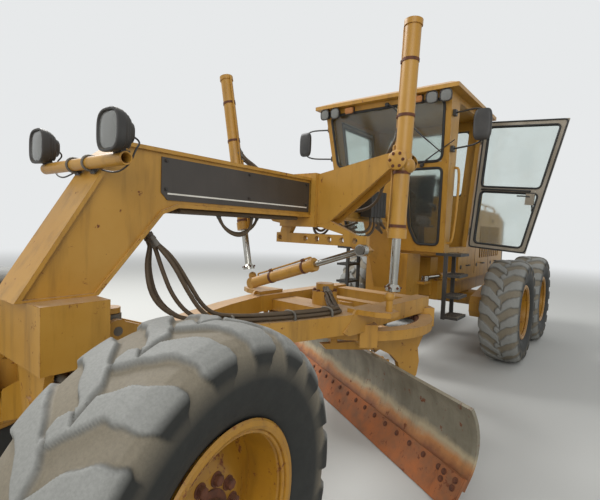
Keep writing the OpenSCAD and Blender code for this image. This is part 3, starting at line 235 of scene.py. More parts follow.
paintColumns = ("colour", "faded", "grime", "dust", "fadeMm", "streaks", "dustShare", "edgeMm", "edgeRust",
                "spotMm", "spotFrom", "roughness")
paintTable = {
    # sun-faded construction yellow
    "yellowEnamel": ("#A97A26", "#B5893C", "#6B4C1E", "#B89C80", 700, 0.55, 0.85, 8, 1.0, 60, 0.62, 0.42),
    # wheel rims, deeper yellow and rustier at the lips
    "rimEnamel": ("#A8791C", "#95691F", "#4E3714", "#A58A5C", 300, 0.4, 0.3, 12, 1.0, 70, 0.57, 0.4),
    # dark brown-black panel paint with a little gloss
    "brownPanel": ("#35302B", "#433D37", "#2A241C", "#8C7C6A", 500, 0.4, 0.5, 4, 0.7, 50, 0.74, 0.38),
    # bare ground steel of the moldboard, grey-green with rust veils
    "bladeSteel": ("#67604F", "#85806F", "#4C4433", "#B4AB94", 260, 0.6, 0.4, 6, 1.0, 90, 0.6, 0.5),
    # cutting edge, orange rust over worn steel
    "edgeSteel": ("#A25C2C", "#7A5236", "#4A3626", "#B08E66", 150, 0.3, 0.3, 5, 0.5, 60, 0.58, 0.7),
    # satin black on brackets, lamp bodies and steps
    "blackPaint": ("#262523", "#3A3835", "#3F382B", "#857A68", 200, 0.4, 0.6, 3, 0.5, 40, 0.76, 0.5),
    # cast engine and pump bodies, dull grey
    "castIron": ("#57534C", "#6E6A61", "#38332A", "#8D8069", 150, 0.4, 0.6, 4, 0.5, 40, 0.7, 0.65),
    # bolts and nuts that lost their paint
    "rustyIron": ("#4A2B1E", "#6B3D24", "#2E2019", "#8A6A4C", 30, 0.2, 0.3, 2, 0.4, 20, 0.6, 0.8),
    # hard chrome of the cylinder rods
    "chromeRod": ("#B4B3AE", "#A5A298", "#77715F", "#9A8F78", 120, 0.3, 0.3, 2, 0.2, 20, 0.8, 0.22),
    # grey-brown door and window frames, chalky
    "doorGrey": ("#857A68", "#9C9384", "#5E5748", "#A99F8E", 300, 0.4, 0.4, 3, 0.7, 40, 0.77, 0.5),
    # thin white enamel line on the panels
    "whiteStripe": ("#E4E1D8", "#CFCBBE", "#A29C8C", "#B8B2A4", 120, 0.3, 0.2, 1, 0.0, 20, 0.85, 0.45),
}
paints = {name: dict(zip(paintColumns, values)) for name, values in paintTable.items()}
paints["bladeSteel"]["band"] = (0.4, 0.34, 0.29)
paints["bladeSteel"]["bandTones"] = ("#A5977A", "#A9713E", "#7B4A2A")
paints["chromeRod"]["metal"] = 1.0
finishes = {name: wornPaint(name, look, wearLook) for name, look in paints.items()}


def rubberFinish(name, look):
    # dull black rubber; on a tyre the mesh's own values say where the bar tops are worn and carry a painted
    # highlight, and where the grooves are dusty
    material, tree, shader = startMaterial(name)
    at = addNode(tree, "ShaderNodeTexCoord").outputs["Object"]
    colour = mixColour(tree, speckle(tree, at, 45, 6), look["colour"], look["scuffed"])
    fine = speckle(tree, at, 9, 8, 0.7)
    # bar tops: worn rubber plus a painted highlight, paler as if lit from above; grooves: dust
    for attribute, share in (("groove", 0.75), ("tread", 0.9)):
        value = addNode(tree, "ShaderNodeAttribute", attribute_name=attribute).outputs["Fac"]
        patch = combine(tree, "MULTIPLY", value, toneRamp(tree, fine, [(0.2, share * 0.7), (0.6, share)]))
        colour = mixColour(tree, patch, colour, look[attribute])
    dullness = look["roughness"]
    rough = toneRamp(tree, speckle(tree, at, 60, 5), [(0.3, dullness - 0.12), (0.7, dullness)])
    finishShader(tree, shader, colour, rough, speckle(tree, at, look["grainMm"], 8, 0.7), 0.35, 0.001)
    return material


rubbers = {
    # the tyre's bar-top tone is worn rubber plus a painted highlight
    "tyreRubber": {"colour": "#131413", "scuffed": "#23241F", "groove": "#8E8471", "tread": "#8F8F8A",
                   "roughness": 0.75, "grainMm": 5},
    "hoseRubber": {"colour": "#3A2F22", "scuffed": "#5C4B35", "groove": "#5C4B35", "tread": "#5C4B35",
                   "roughness": 0.7, "grainMm": 3},
    "sealRubber": {"colour": "#171716", "scuffed": "#252422", "groove": "#252422", "tread": "#252422",
                   "roughness": 0.65, "grainMm": 2},
}
finishes.update({name: rubberFinish(name, look) for name, look in rubbers.items()})


def glassFinish(name, look):
    # toughened glass with a thin veil of dust, thicker in patches
    material, tree, shader = startMaterial(name)
    at = addNode(tree, "ShaderNodeTexCoord").outputs["Object"]
    veil = toneRamp(tree, speckle(tree, at, 260, 6, 0.65), [(0.35, look["veil"] * 0.3), (0.75, look["veil"])])
    colour = mixColour(tree, veil, look["colour"], "#B9B6AA")
    rough = combine(tree, "ADD", combine(tree, "MULTIPLY", veil, 0.5), 0.03)
    finishShader(tree, shader, colour, rough, speckle(tree, at, 900, 1), 0.02)
    shader.inputs["IOR"].default_value = 1.5
    shader.inputs["Transmission Weight"].default_value = look["clear"]
    shader.inputs["Metallic"].default_value = look.get("metal", 0)
    return material


glasses = {
    "cabGlass": {"colour": "#E2ECE9", "veil": 0.25, "clear": 0.97},
    "mirrorSilver": {"colour": "#B9C0C4", "veil": 0.3, "clear": 0.0, "metal": 0.9},
    "lampGlass": {"colour": "#D8DAD5", "veil": 0.35, "clear": 0.75},
    "amberLens": {"colour": "#E08A1E", "veil": 0.2, "clear": 0.35},
    "redLens": {"colour": "#A8231A", "veil": 0.2, "clear": 0.3},
}
finishes.update({name: glassFinish(name, look) for name, look in glasses.items()})


def clothFinish(name, look):
    # woven seat cover: fine cross weave, worn paler in broad random patches
    material, tree, shader = startMaterial(name)
    at = addNode(tree, "ShaderNodeTexCoord").outputs["Object"]
    scale = 1000 / look["threadMm"] / 6.28
    wave = {"Vector": at, "Scale": scale, "Distortion": 0.6}
    across, along = (addNode(tree, "ShaderNodeTexWave", wave, bands_direction=way) for way in ("X", "Y"))
    weave = combine(tree, "MULTIPLY", across.outputs["Fac"], along.outputs["Fac"])
    colour = mixColour(tree, speckle(tree, at, 120, 5), look["colour"], look["worn"])
    colour = mixColour(tree, combine(tree, "MULTIPLY", weave, 0.4), colour, look["thread"])
    rough = toneRamp(tree, weave, [(0, 0.95), (1, 0.85)])
    finishShader(tree, shader, colour, rough, weave, 0.4, 0.001)
    shader.inputs["Sheen Weight"].default_value = 0.3
    return material


finishes["seatCloth"] = clothFinish("seatCloth", {
    "colour": "#1D1D1F", "worn": "#2E2D2C", "thread": "#3C3B3A", "threadMm": 2})
print("materials made", len(finishes))


# each CAD node that stays gets its finish by its material slot
slotFinishes = {
    "yellow_paint": "yellowEnamel", "dark_paint": "blackPaint", "blade_steel": "bladeSteel",
    "edge_steel": "edgeSteel", "chrome_rod": "chromeRod", "tyre_rubber": "tyreRubber", "glass": "cabGlass",
    "door_grey": "doorGrey", "seat_cover": "seatCloth", "hose_rubber": "hoseRubber",
    "black_plastic": "blackPaint", "engine_iron": "castIron", "steel": "castIron",
}
for nodeName, nodeObject in frame["nodes"].items():
    slots = nodeObject.data.materials
    for index, old in enumerate(slots):
        slots[index] = finishes[slotFinishes[old.name.split(".")[0]]]
print("frame dressed")


# mesh helpers: shapes are added to one bmesh, which becomes one piece
def addBlock(shape, low, high, finish=0):
    low, high = Vector(low), Vector(high)
    made = bmesh.ops.create_cube(shape, size=1)["verts"]
    size = [max(abs(b - a), 1e-5) for a, b in zip(low, high)]
    matrix = Matrix.Translation((low + high) / 2) @ Matrix.Diagonal(size + [1])
    bmesh.ops.transform(shape, matrix=matrix, verts=made)
    for face in {face for vert in made for face in vert.link_faces}:
        face.material_index = finish


def addTube(shape, points, radius, sides=12, finish=0, closed=False):
    points = [Vector(p) for p in points]
    rings = []
    side = None
    last = len(points) - 1
    for i, point in enumerate(points):
        if closed:
            ahead = (points[(i + 1) % len(points)] - points[i - 1]).normalized()
        else:
            ahead = (points[min(i + 1, last)] - points[max(i - 1, 0)]).normalized()
        if side is None:
            side = ahead.cross(Vector((0, 0, 1)) if abs(ahead.z) < 0.9 else Vector((1, 0, 0)))
        side = (side - ahead * side.dot(ahead)).normalized()
        other = ahead.cross(side)
        thick = radius[i] if isinstance(radius, (list, tuple)) else radius
        ring = []
        for k in range(sides):
            a = 2 * math.pi * k / sides
            ring.append(shape.verts.new(point + (side * math.cos(a) + other * math.sin(a)) * thick))
        rings.append(ring)
    for first, second in zip(rings, rings[1:] + (rings[:1] if closed else [])):
        for k in range(sides):
            face = shape.faces.new((first[k], first[(k + 1) % sides], second[(k + 1) % sides], second[k]))
            face.material_index = finish
    if not closed:
        for ring in (rings[0][::-1], rings[-1]):
            shape.faces.new(ring).material_index = finish


def smoothPath(points, steps=5):
    # rounds the corners of a given route
    points = [Vector(p) for p in points]
    path = [points[0]]
    for a, b, c in zip(points, points[1:], points[2:]):
        start, end = (a + b) / 2, (b + c) / 2
        for k in range(steps + 1):
            t = k / steps
            path.append(start * (1 - t) ** 2 + b * 2 * t * (1 - t) + end * t * t)
    return path + [points[-1]]


def cornerArcs(corners, radius, steps=5):
    # one short arc of points for each corner of a closed outline
    corners = [Vector(c) for c in corners]
    arcs = []
    for i, corner in enumerate(corners):
        before = corner + (corners[i - 1] - corner).normalized() * radius
        after = corner + (corners[(i + 1) % len(corners)] - corner).normalized() * radius
        arcs.append([before * (1 - t) ** 2 + corner * 2 * t * (1 - t) + after * t * t
                     for t in (k / steps for k in range(steps + 1))])
    return arcs


def addLathe(shape, profile, matrix, steps=48, finish=0, square=2):
    # profile is (distance along the axis, radius); the axis is the matrix's Z; a square above 2 gives
    # rounded corners in place of a circle
    rings = []
    for along, radius in profile:
        if radius < 1e-6:
            rings.append([shape.verts.new(matrix @ Vector((0, 0, along)))])
            continue
        ring = []
        for k in range(steps):
            c, s = math.cos(2 * math.pi * k / steps), math.sin(2 * math.pi * k / steps)
            r = radius * (abs(c) ** square + abs(s) ** square) ** (-1 / square)
            ring.append(shape.verts.new(matrix @ Vector((r * c, r * s, along))))
        rings.append(ring)
    for first, second in zip(rings, rings[1:]):
        for k in range(steps):
            n = (k + 1) % steps
            corners = [first[k % len(first)], first[n % len(first)], second[n % len(second)],
                       second[k % len(second)]]
            face = shape.faces.new([c for i, c in enumerate(corners) if c not in corners[:i]])
            face.material_index = finish


def addPlate(shape, outline, depth, finish=0):
    # flat outline pushed along depth, both sides and its rim closed
    depth = Vector(depth)
    near = [shape.verts.new(Vector(p)) for p in outline]
    far = [shape.verts.new(Vector(p) + depth) for p in outline]
    faces = [shape.faces.new(near[::-1]), shape.faces.new(far)]
    for k in range(len(near)):
        n = (k + 1) % len(near)
        faces.append(shape.faces.new((near[k], near[n], far[n], far[k])))
    for face in faces:
        face.material_index = finish


def aim(place, direction):
    # matrix whose Z looks along the direction
    return Matrix.Translation(place) @ Vector(direction).to_track_quat("Z", "Y").to_matrix().to_4x4()


def metres(profile, shift=0):
    # a lathe profile given in millimetres, moved along its axis
    return [((shift + along) / 1000, radius / 1000) for along, radius in profile]


def makePiece(name, shape, finishNames, body, replaces=(), bevel=0, smooth=35):
    bmesh.ops.remove_doubles(shape, verts=shape.verts, dist=1e-6)
    if bevel:
        sharp = [e for e in shape.edges if len(e.link_faces) == 2 and e.calc_face_angle(0) > math.radians(40)]
        bmesh.ops.bevel(shape, geom=sharp, offset=bevel, segments=2, affect="EDGES", clamp_overlap=True)
    bmesh.ops.recalc_face_normals(shape, faces=shape.faces)
    mesh = bpy.data.meshes.new(name)
    shape.to_mesh(mesh)
    shape.free()
    return placePiece(name, mesh, finishNames, body, replaces, smooth)


def placePiece(name, mesh, finishNames, body, replaces=(), smooth=35):
    for finishName in finishNames:
        mesh.materials.append(finishes[finishName])
    mesh.shade_smooth()
    mesh.set_sharp_from_angle(angle=math.radians(smooth))
    piece = bpy.data.objects.new(name, mesh)
    scene.collection.objects.link(piece)
    if body:
        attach(piece, body)
    if replaces:
        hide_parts(*replaces)
    return piece


def bakedMesh(thing):
    graph = bpy.context.evaluated_depsgraph_get()
    return bpy.data.meshes.new_from_object(thing.evaluated_get(graph))


# small parts in rows: a Geometry Nodes tree sets one part on every point, turned along the point's direction
def startRows(name, sizes):
    tree = bpy.data.node_groups.new(name, "GeometryNodeTree")
    sockets = {}
    for title, kind in {"Points": "NodeSocketGeometry", **sizes, "Finish": "NodeSocketMaterial"}.items():
        sockets[title] = tree.interface.new_socket(title, in_out="INPUT", socket_type=kind).identifier
    tree.interface.new_socket("Rows", in_out="OUTPUT", socket_type="NodeSocketGeometry")
    return tree, sockets, addNode(tree, "NodeGroupInput").outputs


def lookAlong(tree, **settings):
    facing = addNode(tree, "GeometryNodeInputNamedAttribute", {"Name": "facing"}, data_type="FLOAT_VECTOR")
    vector = {"Vector": facing.outputs["Attribute"]}
    return addNode(tree, "FunctionNodeAlignRotationToVector", vector, **settings).outputs[0]


def endRows(tree, given, part, rotation):
    placed = addNode(tree, "GeometryNodeInstanceOnPoints", {
        "Points": given["Points"], "Instance": part, "Rotation": rotation})
    real = addNode(tree, "GeometryNodeRealizeInstances", {0: placed.outputs[0]})
    dressed = addNode(tree, "GeometryNodeSetMaterial", {
        "Geometry": real.outputs[0], "Material": given["Finish"]})
    addNode(tree, "NodeGroupOutput", {0: dressed.outputs[0]})


def boltTree():
    # hexagon head with a raised round top and a washer, each head turned its own way
    sizes = {"Head Across": "NodeSocketFloat", "Head Height": "NodeSocketFloat"}
    tree, sockets, given = startRows("boltHeads", sizes)
    half = {0: given["Head Across"], 1: 0.577}
    radius = addNode(tree, "ShaderNodeMath", half, operation="MULTIPLY").outputs[0]
    layers = [(6, 1.0, given["Head Height"]), (12, 0.72, None), (18, 1.35, 0.003)]
    whole = addNode(tree, "GeometryNodeJoinGeometry")
    for count, share, depth in layers:
        wide = addNode(tree, "ShaderNodeMath", {0: radius, 1: share}, operation="MULTIPLY").outputs[0]
        cone = {"Vertices": count, "Radius Top": wide, "Radius Bottom": wide, "Depth": depth or 0.001}
        layer = addNode(tree, "GeometryNodeMeshCone", cone).outputs[0]
        if depth is None:
            lift = addNode(tree, "ShaderNodeCombineXYZ", {"Z": given["Head Height"]}).outputs[0]
            raised = {"Geometry": layer, "Translation": lift}
            layer = addNode(tree, "GeometryNodeTransform", raised).outputs[0]
        tree.links.new(layer, whole.inputs[0])
    looking = lookAlong(tree, axis="Z")
    spin = addNode(tree, "FunctionNodeRandomValue", {"Seed": 7}, data_type="FLOAT")
    turn = addNode(tree, "ShaderNodeMath", {0: spin.outputs[1], 1: 6.283}, operation="MULTIPLY").outputs[0]
    twist = addNode(tree, "FunctionNodeAxisAngleToRotation", {"Axis": (0, 0, 1), "Angle": turn}).outputs[0]
    both = {"Rotation": looking, "Rotate By": twist}
    rotate = addNode(tree, "FunctionNodeRotateRotation", both, rotation_space="LOCAL")
    endRows(tree, given, whole.outputs[0], rotate.outputs[0])
    return tree, sockets


def blockTree():
    tree, sockets, given = startRows("blockRows", {"Block Size": "NodeSocketVector"})
    block = addNode(tree, "GeometryNodeMeshCube", {"Size": given["Block Size"]}).outputs[0]
    endRows(tree, given, block, lookAlong(tree, axis="X", pivot_axis="Z"))
    return tree, sockets


boltRows = boltTree()
blockRows = blockTree()


def makeRows(name, places, rows, sizes, body, finishName):
    points = bpy.data.meshes.new(name + "Points")
    points.from_pydata([p for p, n in places], [], [])
    layer = points.attributes.new("facing", "FLOAT_VECTOR", "POINT")
    layer.data.foreach_set("vector", [c for p, n in places for c in Vector(n).normalized()])
    carrier = bpy.data.objects.new(name + "Points", points)
    scene.collection.objects.link(carrier)
    modifier = carrier.modifiers.new("rows", "NODES")
    modifier.node_group, sockets = rows
    for title, value in sizes.items():
        modifier[sockets[title]] = value
    modifier[sockets["Finish"]] = finishes[finishName]
    mesh = bakedMesh(carrier)
    mesh.name = name
    carrier.modifiers.remove(modifier)
    bpy.data.objects.remove(carrier)
    mesh.materials.clear()
    placePiece(name, mesh, [finishName], body)


def makeBolts(name, places, body, acrossMm, heightMm, finishName="rustyIron"):
    sizes = {"Head Across": acrossMm / 1000, "Head Height": heightMm / 1000}
    makeRows(name, places, boltRows, sizes, body, finishName)


def makeBlocks(name, places, body, sizeMm, finishName):
    # X of each block lies along its point's direction
    makeRows(name, places, blockRows, {"Block Size": [v / 1000 for v in sizeMm]}, body, finishName)


# tyres: one surface around the wheel whose height follows the traction bars
tyreLook = {
    "profile": [(0, 650), (60, 650), (120, 646), (165, 636), (196, 616), (212, 588), (220, 550), (223, 510),
                (222, 470), (214, 430), (200, 395), (184, 366), (172, 350), (164, 338), (150, 330)],
    "barHeight": 22,
    "bars": 18,
    "widthsAt": ([-30, 110, 230, 330], [56, 66, 84, 46]),
    "slant": 0.42,
    "dogleg": 0.95,
    "bend": 110,
    "shoulder": 230,
    "past": 40,
    "waves": ((5, 7, 23), (3, 23, 9)),
    "treadRadius": 660,
    "wall": 18,
    "treadEdge": 335,
    "barEnd": 225,
    "nose": 34,
    "noseWall": 14,
    "noseGap": 9,
    "noseReach": 60,
    # where the bar tops' wear and painted highlight fade out towards the shoulders
    "wearAndHighlightEdge": (215, 245),
    "dustEdge": (225, 330),
}


def tyreMesh(name, look, matrix, around, across):
    profile = np.array(look["profile"], float)
    lengths = np.concatenate([[0], np.cumsum(np.linalg.norm(np.diff(profile, axis=0), axis=1))])
    rim, edge = lengths[-1], look["treadEdge"]
    few = across // 9
    along = np.concatenate([np.linspace(-rim, -edge, few, endpoint=False),
                            np.linspace(-edge, edge, across - 2 * few, endpoint=False),
                            np.linspace(edge, rim, few)])
    turn = np.linspace(0, 2 * math.pi, around, endpoint=False)
    u = np.abs(along)
    axial = np.interp(u, lengths, profile[:, 0]) * np.sign(along)
    radius = np.interp(u, lengths, profile[:, 1])
    slopeA = np.gradient(axial, along)
    slopeR = np.gradient(radius, along)
    size = np.hypot(slopeA, slopeR)
    normalA, normalR = -slopeR / size, slopeA / size
    pitch = 2 * math.pi / look["bars"]
    bend, shoulder, treadRadius = look["bend"], look["shoulder"], look["treadRadius"]
    height = np.zeros((around, across))
    for sign in (1, -1):
        reach = along * sign  # distance from the middle towards this side's shoulder
        inner = np.clip(bend - reach, 0, None)
        lean = look["slant"] * (shoulder - np.clip(reach, -look["past"], shoulder))
        lean = lean + (look["dogleg"] - look["slant"]) * inner
        half = np.interp(reach, *look["widthsAt"])
        offset = (0 if sign > 0 else 0.5) * pitch
        angle = (turn[:, None] + offset - lean[None, :] / treadRadius + pitch / 2) % pitch - pitch / 2
        wobble = 0
        for size, count, length in look["waves"]:
            wobble = wobble + size * np.sin(count * turn[:, None] + reach[None, :] / length)
        inside = half[None, :] - np.abs(angle) * treadRadius + wobble
        fading = np.interp(reach, [look["barEnd"], look["treadEdge"]], [1, 0])
        ends = np.minimum((reach + look["nose"]) / look["noseWall"], fading)
        bar = np.clip(inside / look["wall"], 0, 1) * np.clip(ends, 0, 1)[None, :]
        # a narrow cut runs round this bar's nose where it meets the other side's bar
        outside = np.maximum(-inside, -(reach + look["nose"])[None, :])
        cut = np.clip(np.abs(outside - look["noseGap"] / 2) / look["noseGap"], 0.25, 1)
        cut = np.where(reach[None, :] < look["noseReach"], cut, 1)
        height = np.maximum(height * cut, bar * bar * (3 - 2 * bar))
    rise = height * look["barHeight"]
    a = axial[None, :] + rise * normalA[None, :] * 0.8
    r = radius[None, :] + rise * normalR[None, :]
    ring = np.stack([r * np.cos(turn)[:, None], r * np.sin(turn)[:, None], a], -1) / 1000
    rotation = np.array(matrix.to_3x3())
    points = ring.reshape(-1, 3) @ rotation.T + np.array(matrix.translation)
    i = np.arange(around)[:, None]
    j = np.arange(across - 1)[None, :]
    k = (i + 1) % around
    here, there = i * across + j, k * across + j
    quads = np.stack([here, there, there + 1, here + 1], -1).reshape(-1, 4)
    mesh = bpy.data.meshes.new(name)
    mesh.from_pydata(points.tolist(), [], quads.tolist())
    # on the crown the bar tops get wear and a painted highlight, paler as if lit from above; the low parts
    # get dust
    zone = np.interp(u, look["wearAndHighlightEdge"], [1, 0])[None, :]
    low = np.interp(u, look["dustEdge"], [1, 0])[None, :]
    for title, values in (("tread", height * zone), ("groove", (1 - np.clip(height * 1.6, 0, 1)) * low)):
        layer = mesh.attributes.new(title, "FLOAT", "POINT")
        layer.data.foreach_set("value", np.ascontiguousarray(values, dtype=np.float32).ravel())
    return mesh


rimLook = {
    "rim": [(60, 298), (120, 300), (158, 304), (170, 316), (190, 320), (197, 332), (196, 350), (188, 357),
            (182, 352), (180, 340), (168, 334), (150, 326), (-150, 326), (-166, 332), (-176, 337),
            (-178, 346), (-182, 349), (-188, 344), (-189, 332), (-184, 320), (-168, 314), (-158, 304),
            (-120, 300), (60, 298)],
    "disc": [(0, 62), (8, 66), (8, 152), (-6, 176), (-34, 244), (-46, 264), (-50, 299), (-62, 299),
             (-60, 262), (-46, 240), (-20, 172), (-12, 148), (-12, 62), (0, 62)],
    "hub": [(-60, 0), (-60, 90), (-14, 96), (12, 96), (16, 90), (18, 70), (52, 66), (57, 60), (58, 0)],
    "lockRing": (176, 312, 9),
    "nuts": 10,
    "nutCircle": 126,
    "nutSeat": 8,
    "nutAcross": 34,
    "nutHeight": 22,
}


def makeWheel(body, discZ, around, across):
    joint = spinJoints[body]
    centre = Vector(joint["pos_m"])
    axis = Vector(joint["axis"]).normalized()
    outward = axis if axis.y * centre.y > 0 else -axis
    side = outward.cross(Vector((0, 0, 1))).normalized()
    matrix = Matrix.Translation(centre) @ Matrix((side, outward.cross(side), outward)).transposed().to_4x4()
    mesh = tyreMesh(body + "Tyre", tyreLook, matrix, around, across)
    placePiece(body + "Tyre", mesh, ["tyreRubber"], body, [body], 60)
    shape = bmesh.new()
    addLathe(shape, metres(rimLook["rim"]), matrix, 96)
    along, radius, thick = rimLook["lockRing"]
    turns = [k * math.pi / 5 for k in range(11)]
    lock = [(along + thick * math.cos(t), radius + thick * math.sin(t)) for t in turns]
    addLathe(shape, metres(lock), matrix, 96)
    addLathe(shape, metres(rimLook["disc"], discZ), matrix, 96)
    addLathe(shape, metres(rimLook["hub"], discZ), matrix, 48, 1)
    makePiece(body + "Rim", shape, ["rimEnamel", "rustyIron"], body, [body], 0, 32)
    nuts = []
    for k in range(rimLook["nuts"]):
        t = 2 * math.pi * k / rimLook["nuts"]
        r = rimLook["nutCircle"]
        nuts.append((matrix @ mm(r * math.cos(t), r * math.sin(t), discZ + rimLook["nutSeat"]), outward))
    makeBolts(body + "Nuts", nuts, body, rimLook["nutAcross"], rimLook["nutHeight"])


makeWheel("front_wheel_left", 70, 640, 144)
makeWheel("front_wheel_right", 70, 400, 90)
for side in ("left", "right"):
    for end in ("front", "back"):
        makeWheel("rear_wheel_" + side + "_" + end, 40, 400, 90)
print("wheels made")


# dark panels on both sides of the frame, with a white line and their bolts
panelLook = {
    "start": 4068,
    "end": 5440,
    "low": 1800,
    "high": 2038,
    "web": 122.5,
    "thick": 6,
    "corner": 40,
    "lineInset": 30,
    "lineHeight": 9,
    "lineAt": 1832,
    "boltInset": {"start": 40, "end": 30, "low": 60, "high": 18},
}


def makePanels(look):
    shape = bmesh.new()
    bolts = []
    x0, x1, z0, z1, c = look["start"], look["end"], look["low"], look["high"], look["corner"]
    outline = [(x0, z0), (x1 - c, z0), (x1, z0 + c), (x1, z1), (x0, z1)]
    start, low, high = x0 + look["lineInset"], look["lineAt"], look["lineAt"] + look["lineHeight"]
    line = [(start, low), (x1 - c, low), (x1 - c, high), (start, high)]
    inset = look["boltInset"]
    for side in (1, -1):
        near = side * look["web"]
        face = near + side * look["thick"]
        addPlate(shape, [spot(x, near, z) for x, z in outline], mm(0, side * look["thick"], 0))
        addPlate(shape, [spot(x, face - side * 0.3, z) for x, z in line], mm(0, side * 1.2, 0), 1)
        for x in (x0 + inset["start"], (x0 + x1) / 2, x1 - inset["end"]):
            for z in (z0 + inset["low"], z1 - inset["high"]):
                bolts.append((spot(x, face, z), (0, side, 0)))
    makePiece("framePanels", shape, ["brownPanel", "whiteStripe"], "front_frame", smooth=30)
    makeBolts("panelBolts", bolts, "front_frame", 15, 8, "blackPaint")


makePanels(panelLook)
print("panels made")


# headlamps on their cross tube, in front of the gooseneck
headlampLook = {
    "tubeX": 5815,
    "tubeZ": 1950,
    "reach": 430,
    "tubeRadius": 30,
    "bore": 24,
    "lampY": 390,
    "lampZ": 2065,
    "face": 5878,
    "body": [(-104, 0), (-104, 38), (-98, 46), (-78, 56), (-74, 66), (-66, 70), (-62, 76), (-52, 78),
             (-48, 84), (-38, 86), (-34, 90), (-4, 95), (4, 94), (7, 90), (6, 84), (-4, 80), (-8, 0)],
    "glass": [(-6, 80), (-2, 78), (2, 60), (4, 30), (5, 0)],
    "square": 3.2,
    "clampY": 85,
    "clampWire": 6,
    "bracket": [(50, None), (26, -4), (-26, -4), (-50, None)],
    "bracketHalf": 22,
    "backIn": 70,
    "fork": [("foot", 0, 24, 0), ("foot", 4, 30, 30), ("back", 0, 50, -75), ("back", 0, 62, -20)],
    "saddle": [(-22, -34, -4), (22, 34, 6)],
    "cable": [("back", -30, 0, 0), ("back", -75, 20, -30), ("foot", -50, 30, 20), ("foot", -34, 12, -50),
              ("foot", -30, -100, -85), ("foot", -30, -240, -60)],
}
# the front leg's sloping face: one place on it, and how far it runs forward over its drop
legLook = {
    "x": 5732,
    "z": 2010,
    "run": 430,
    "drop": 710,
}


def legFace(z):
    return legLook["x"] + legLook["run"] * (legLook["z"] - z) / legLook["drop"]


def makeHeadlamps(look):
    shape = bmesh.new()
    lens = bmesh.new()
    tubeX, tubeZ, reach, bore, radius = (look[k] for k in ("tubeX", "tubeZ", "reach", "bore", "tubeRadius"))
    wall = [(-reach, bore), (-reach, radius), (reach, radius), (reach, bore), (-reach, bore)]
    addLathe(shape, metres(wall), aim(spot(tubeX, 0, tubeZ), (0, 1, 0)), 40)
    for y in (-1, 1):
        # bracket from the leg's face to the tube, and a wire clamp round the tube
        clampY, half = y * look["clampY"], look["bracketHalf"]
        outline = []
        for up, back in look["bracket"]:
            outline.append((legFace(tubeZ + up) - 2 if back is None else tubeX + back, tubeZ + up))
        addPlate(shape, [spot(x, clampY - half, z) for x, z in outline], mm(0, 2 * half, 0), 1)
        turns = [math.radians(a) for a in range(-100, 101, 20)]
        r = radius + look["clampWire"]
        loop = [spot(tubeX + r * math.cos(t), clampY, tubeZ + r * math.sin(t)) for t in turns]
        legs = [spot(tubeX - 50, clampY, tubeZ + d * r) for d in (-1, 1)]
        addTube(shape, [legs[0]] + loop + [legs[1]], look["clampWire"] / 1000, 8, 2)
        # fork, bowl and cable of each lamp
        lampY = y * look["lampY"]
        ends = {"foot": spot(tubeX, lampY, tubeZ + radius - 2),
                "back": spot(look["face"] - look["backIn"], lampY, look["lampZ"])}
        for side in (-1, 1):
            arm = [ends[end] + mm(a, side * b, c) for end, a, b, c in look["fork"]]
            addTube(shape, smoothPath(arm, 3), 0.008, 6, 1)
        addBlock(shape, *(ends["foot"] + mm(*corner) for corner in look["saddle"]), finish=1)
        at = aim(spot(look["face"], lampY, look["lampZ"]), (1, 0, 0))
        addLathe(shape, metres(look["body"]), at, 48, 1, look["square"])
        addLathe(lens, metres(look["glass"]), at, 48, 0, look["square"])
        cable = [ends[end] + mm(a, y * b, c) for end, a, b, c in look["cable"]]
        addTube(shape, smoothPath(cable, 5), 0.0045, 6, 1)
    finishNames = ["yellowEnamel", "blackPaint", "castIron"]
    makePiece("headlampBar", shape, finishNames, "front_frame", ["lamps"])
    makePiece("headlampLenses", lens, ["lampGlass"], "front_frame", ["lamps"])


makeHeadlamps(headlampLook)


# work lamps and amber markers under the roof's front edge
roofLampLook = {
    "lampY": (580, 722),
    "lampZ": 3026,
    "face": 2688,
    "outward": 0.06,
    "downward": 0.1,
    "body": [(-78, 0), (-78, 30), (-60, 44), (-30, 56), (-6, 62), (2, 62), (4, 57), (-4, 53), (-6, 0)],
    "glass": [(-4, 53), (0, 50), (3, 31), (4, 0)],
    "square": 3,
    "bracket": [(-60, -9, 3060), (-34, 9, 3089)],
    "markerX": 2625,
    "markerY": 410,
    "markerZ": 3046,
    "markerSize": (34, 104, 66),
    "markerFrame": 4,
}


def makeRoofLamps(look):
    shape = bmesh.new()
    lens = bmesh.new()
    amber = bmesh.new()
    deep, wide, tall = look["markerSize"]
    x, z, rim = look["markerX"], look["markerZ"], look["markerFrame"]
    for side in (-1, 1):
        for y in look["lampY"]:
            ahead = (1, side * look["outward"], -look["downward"])
            at = aim(spot(look["face"], side * y, look["lampZ"]), ahead)
            addLathe(shape, metres(look["body"]), at, 36, 0, look["square"])
            addLathe(lens, metres(look["glass"]), at, 36, 0, look["square"])
            addBlock(shape, *(spot(look["face"] + a, side * y + b, top) for a, b, top in look["bracket"]))
        low = spot(x, side * look["markerY"] - wide / 2, z - tall / 2)
        high = spot(x + deep, side * look["markerY"] + wide / 2, z + tall / 2)
        addBlock(amber, low, high)
        addBlock(shape, low - mm(20, rim, rim), Vector((low.x, high.y, high.z)) + mm(6, rim, rim))
    makePiece("roofLamps", shape, ["blackPaint"], "front_frame", bevel=0.002)
    makePiece("roofLampLenses", lens, ["lampGlass"], "front_frame")
    makePiece("markerLamps", amber, ["amberLens"], "front_frame", bevel=0.008)


makeRoofLamps(roofLampLook)
print("lamps made")


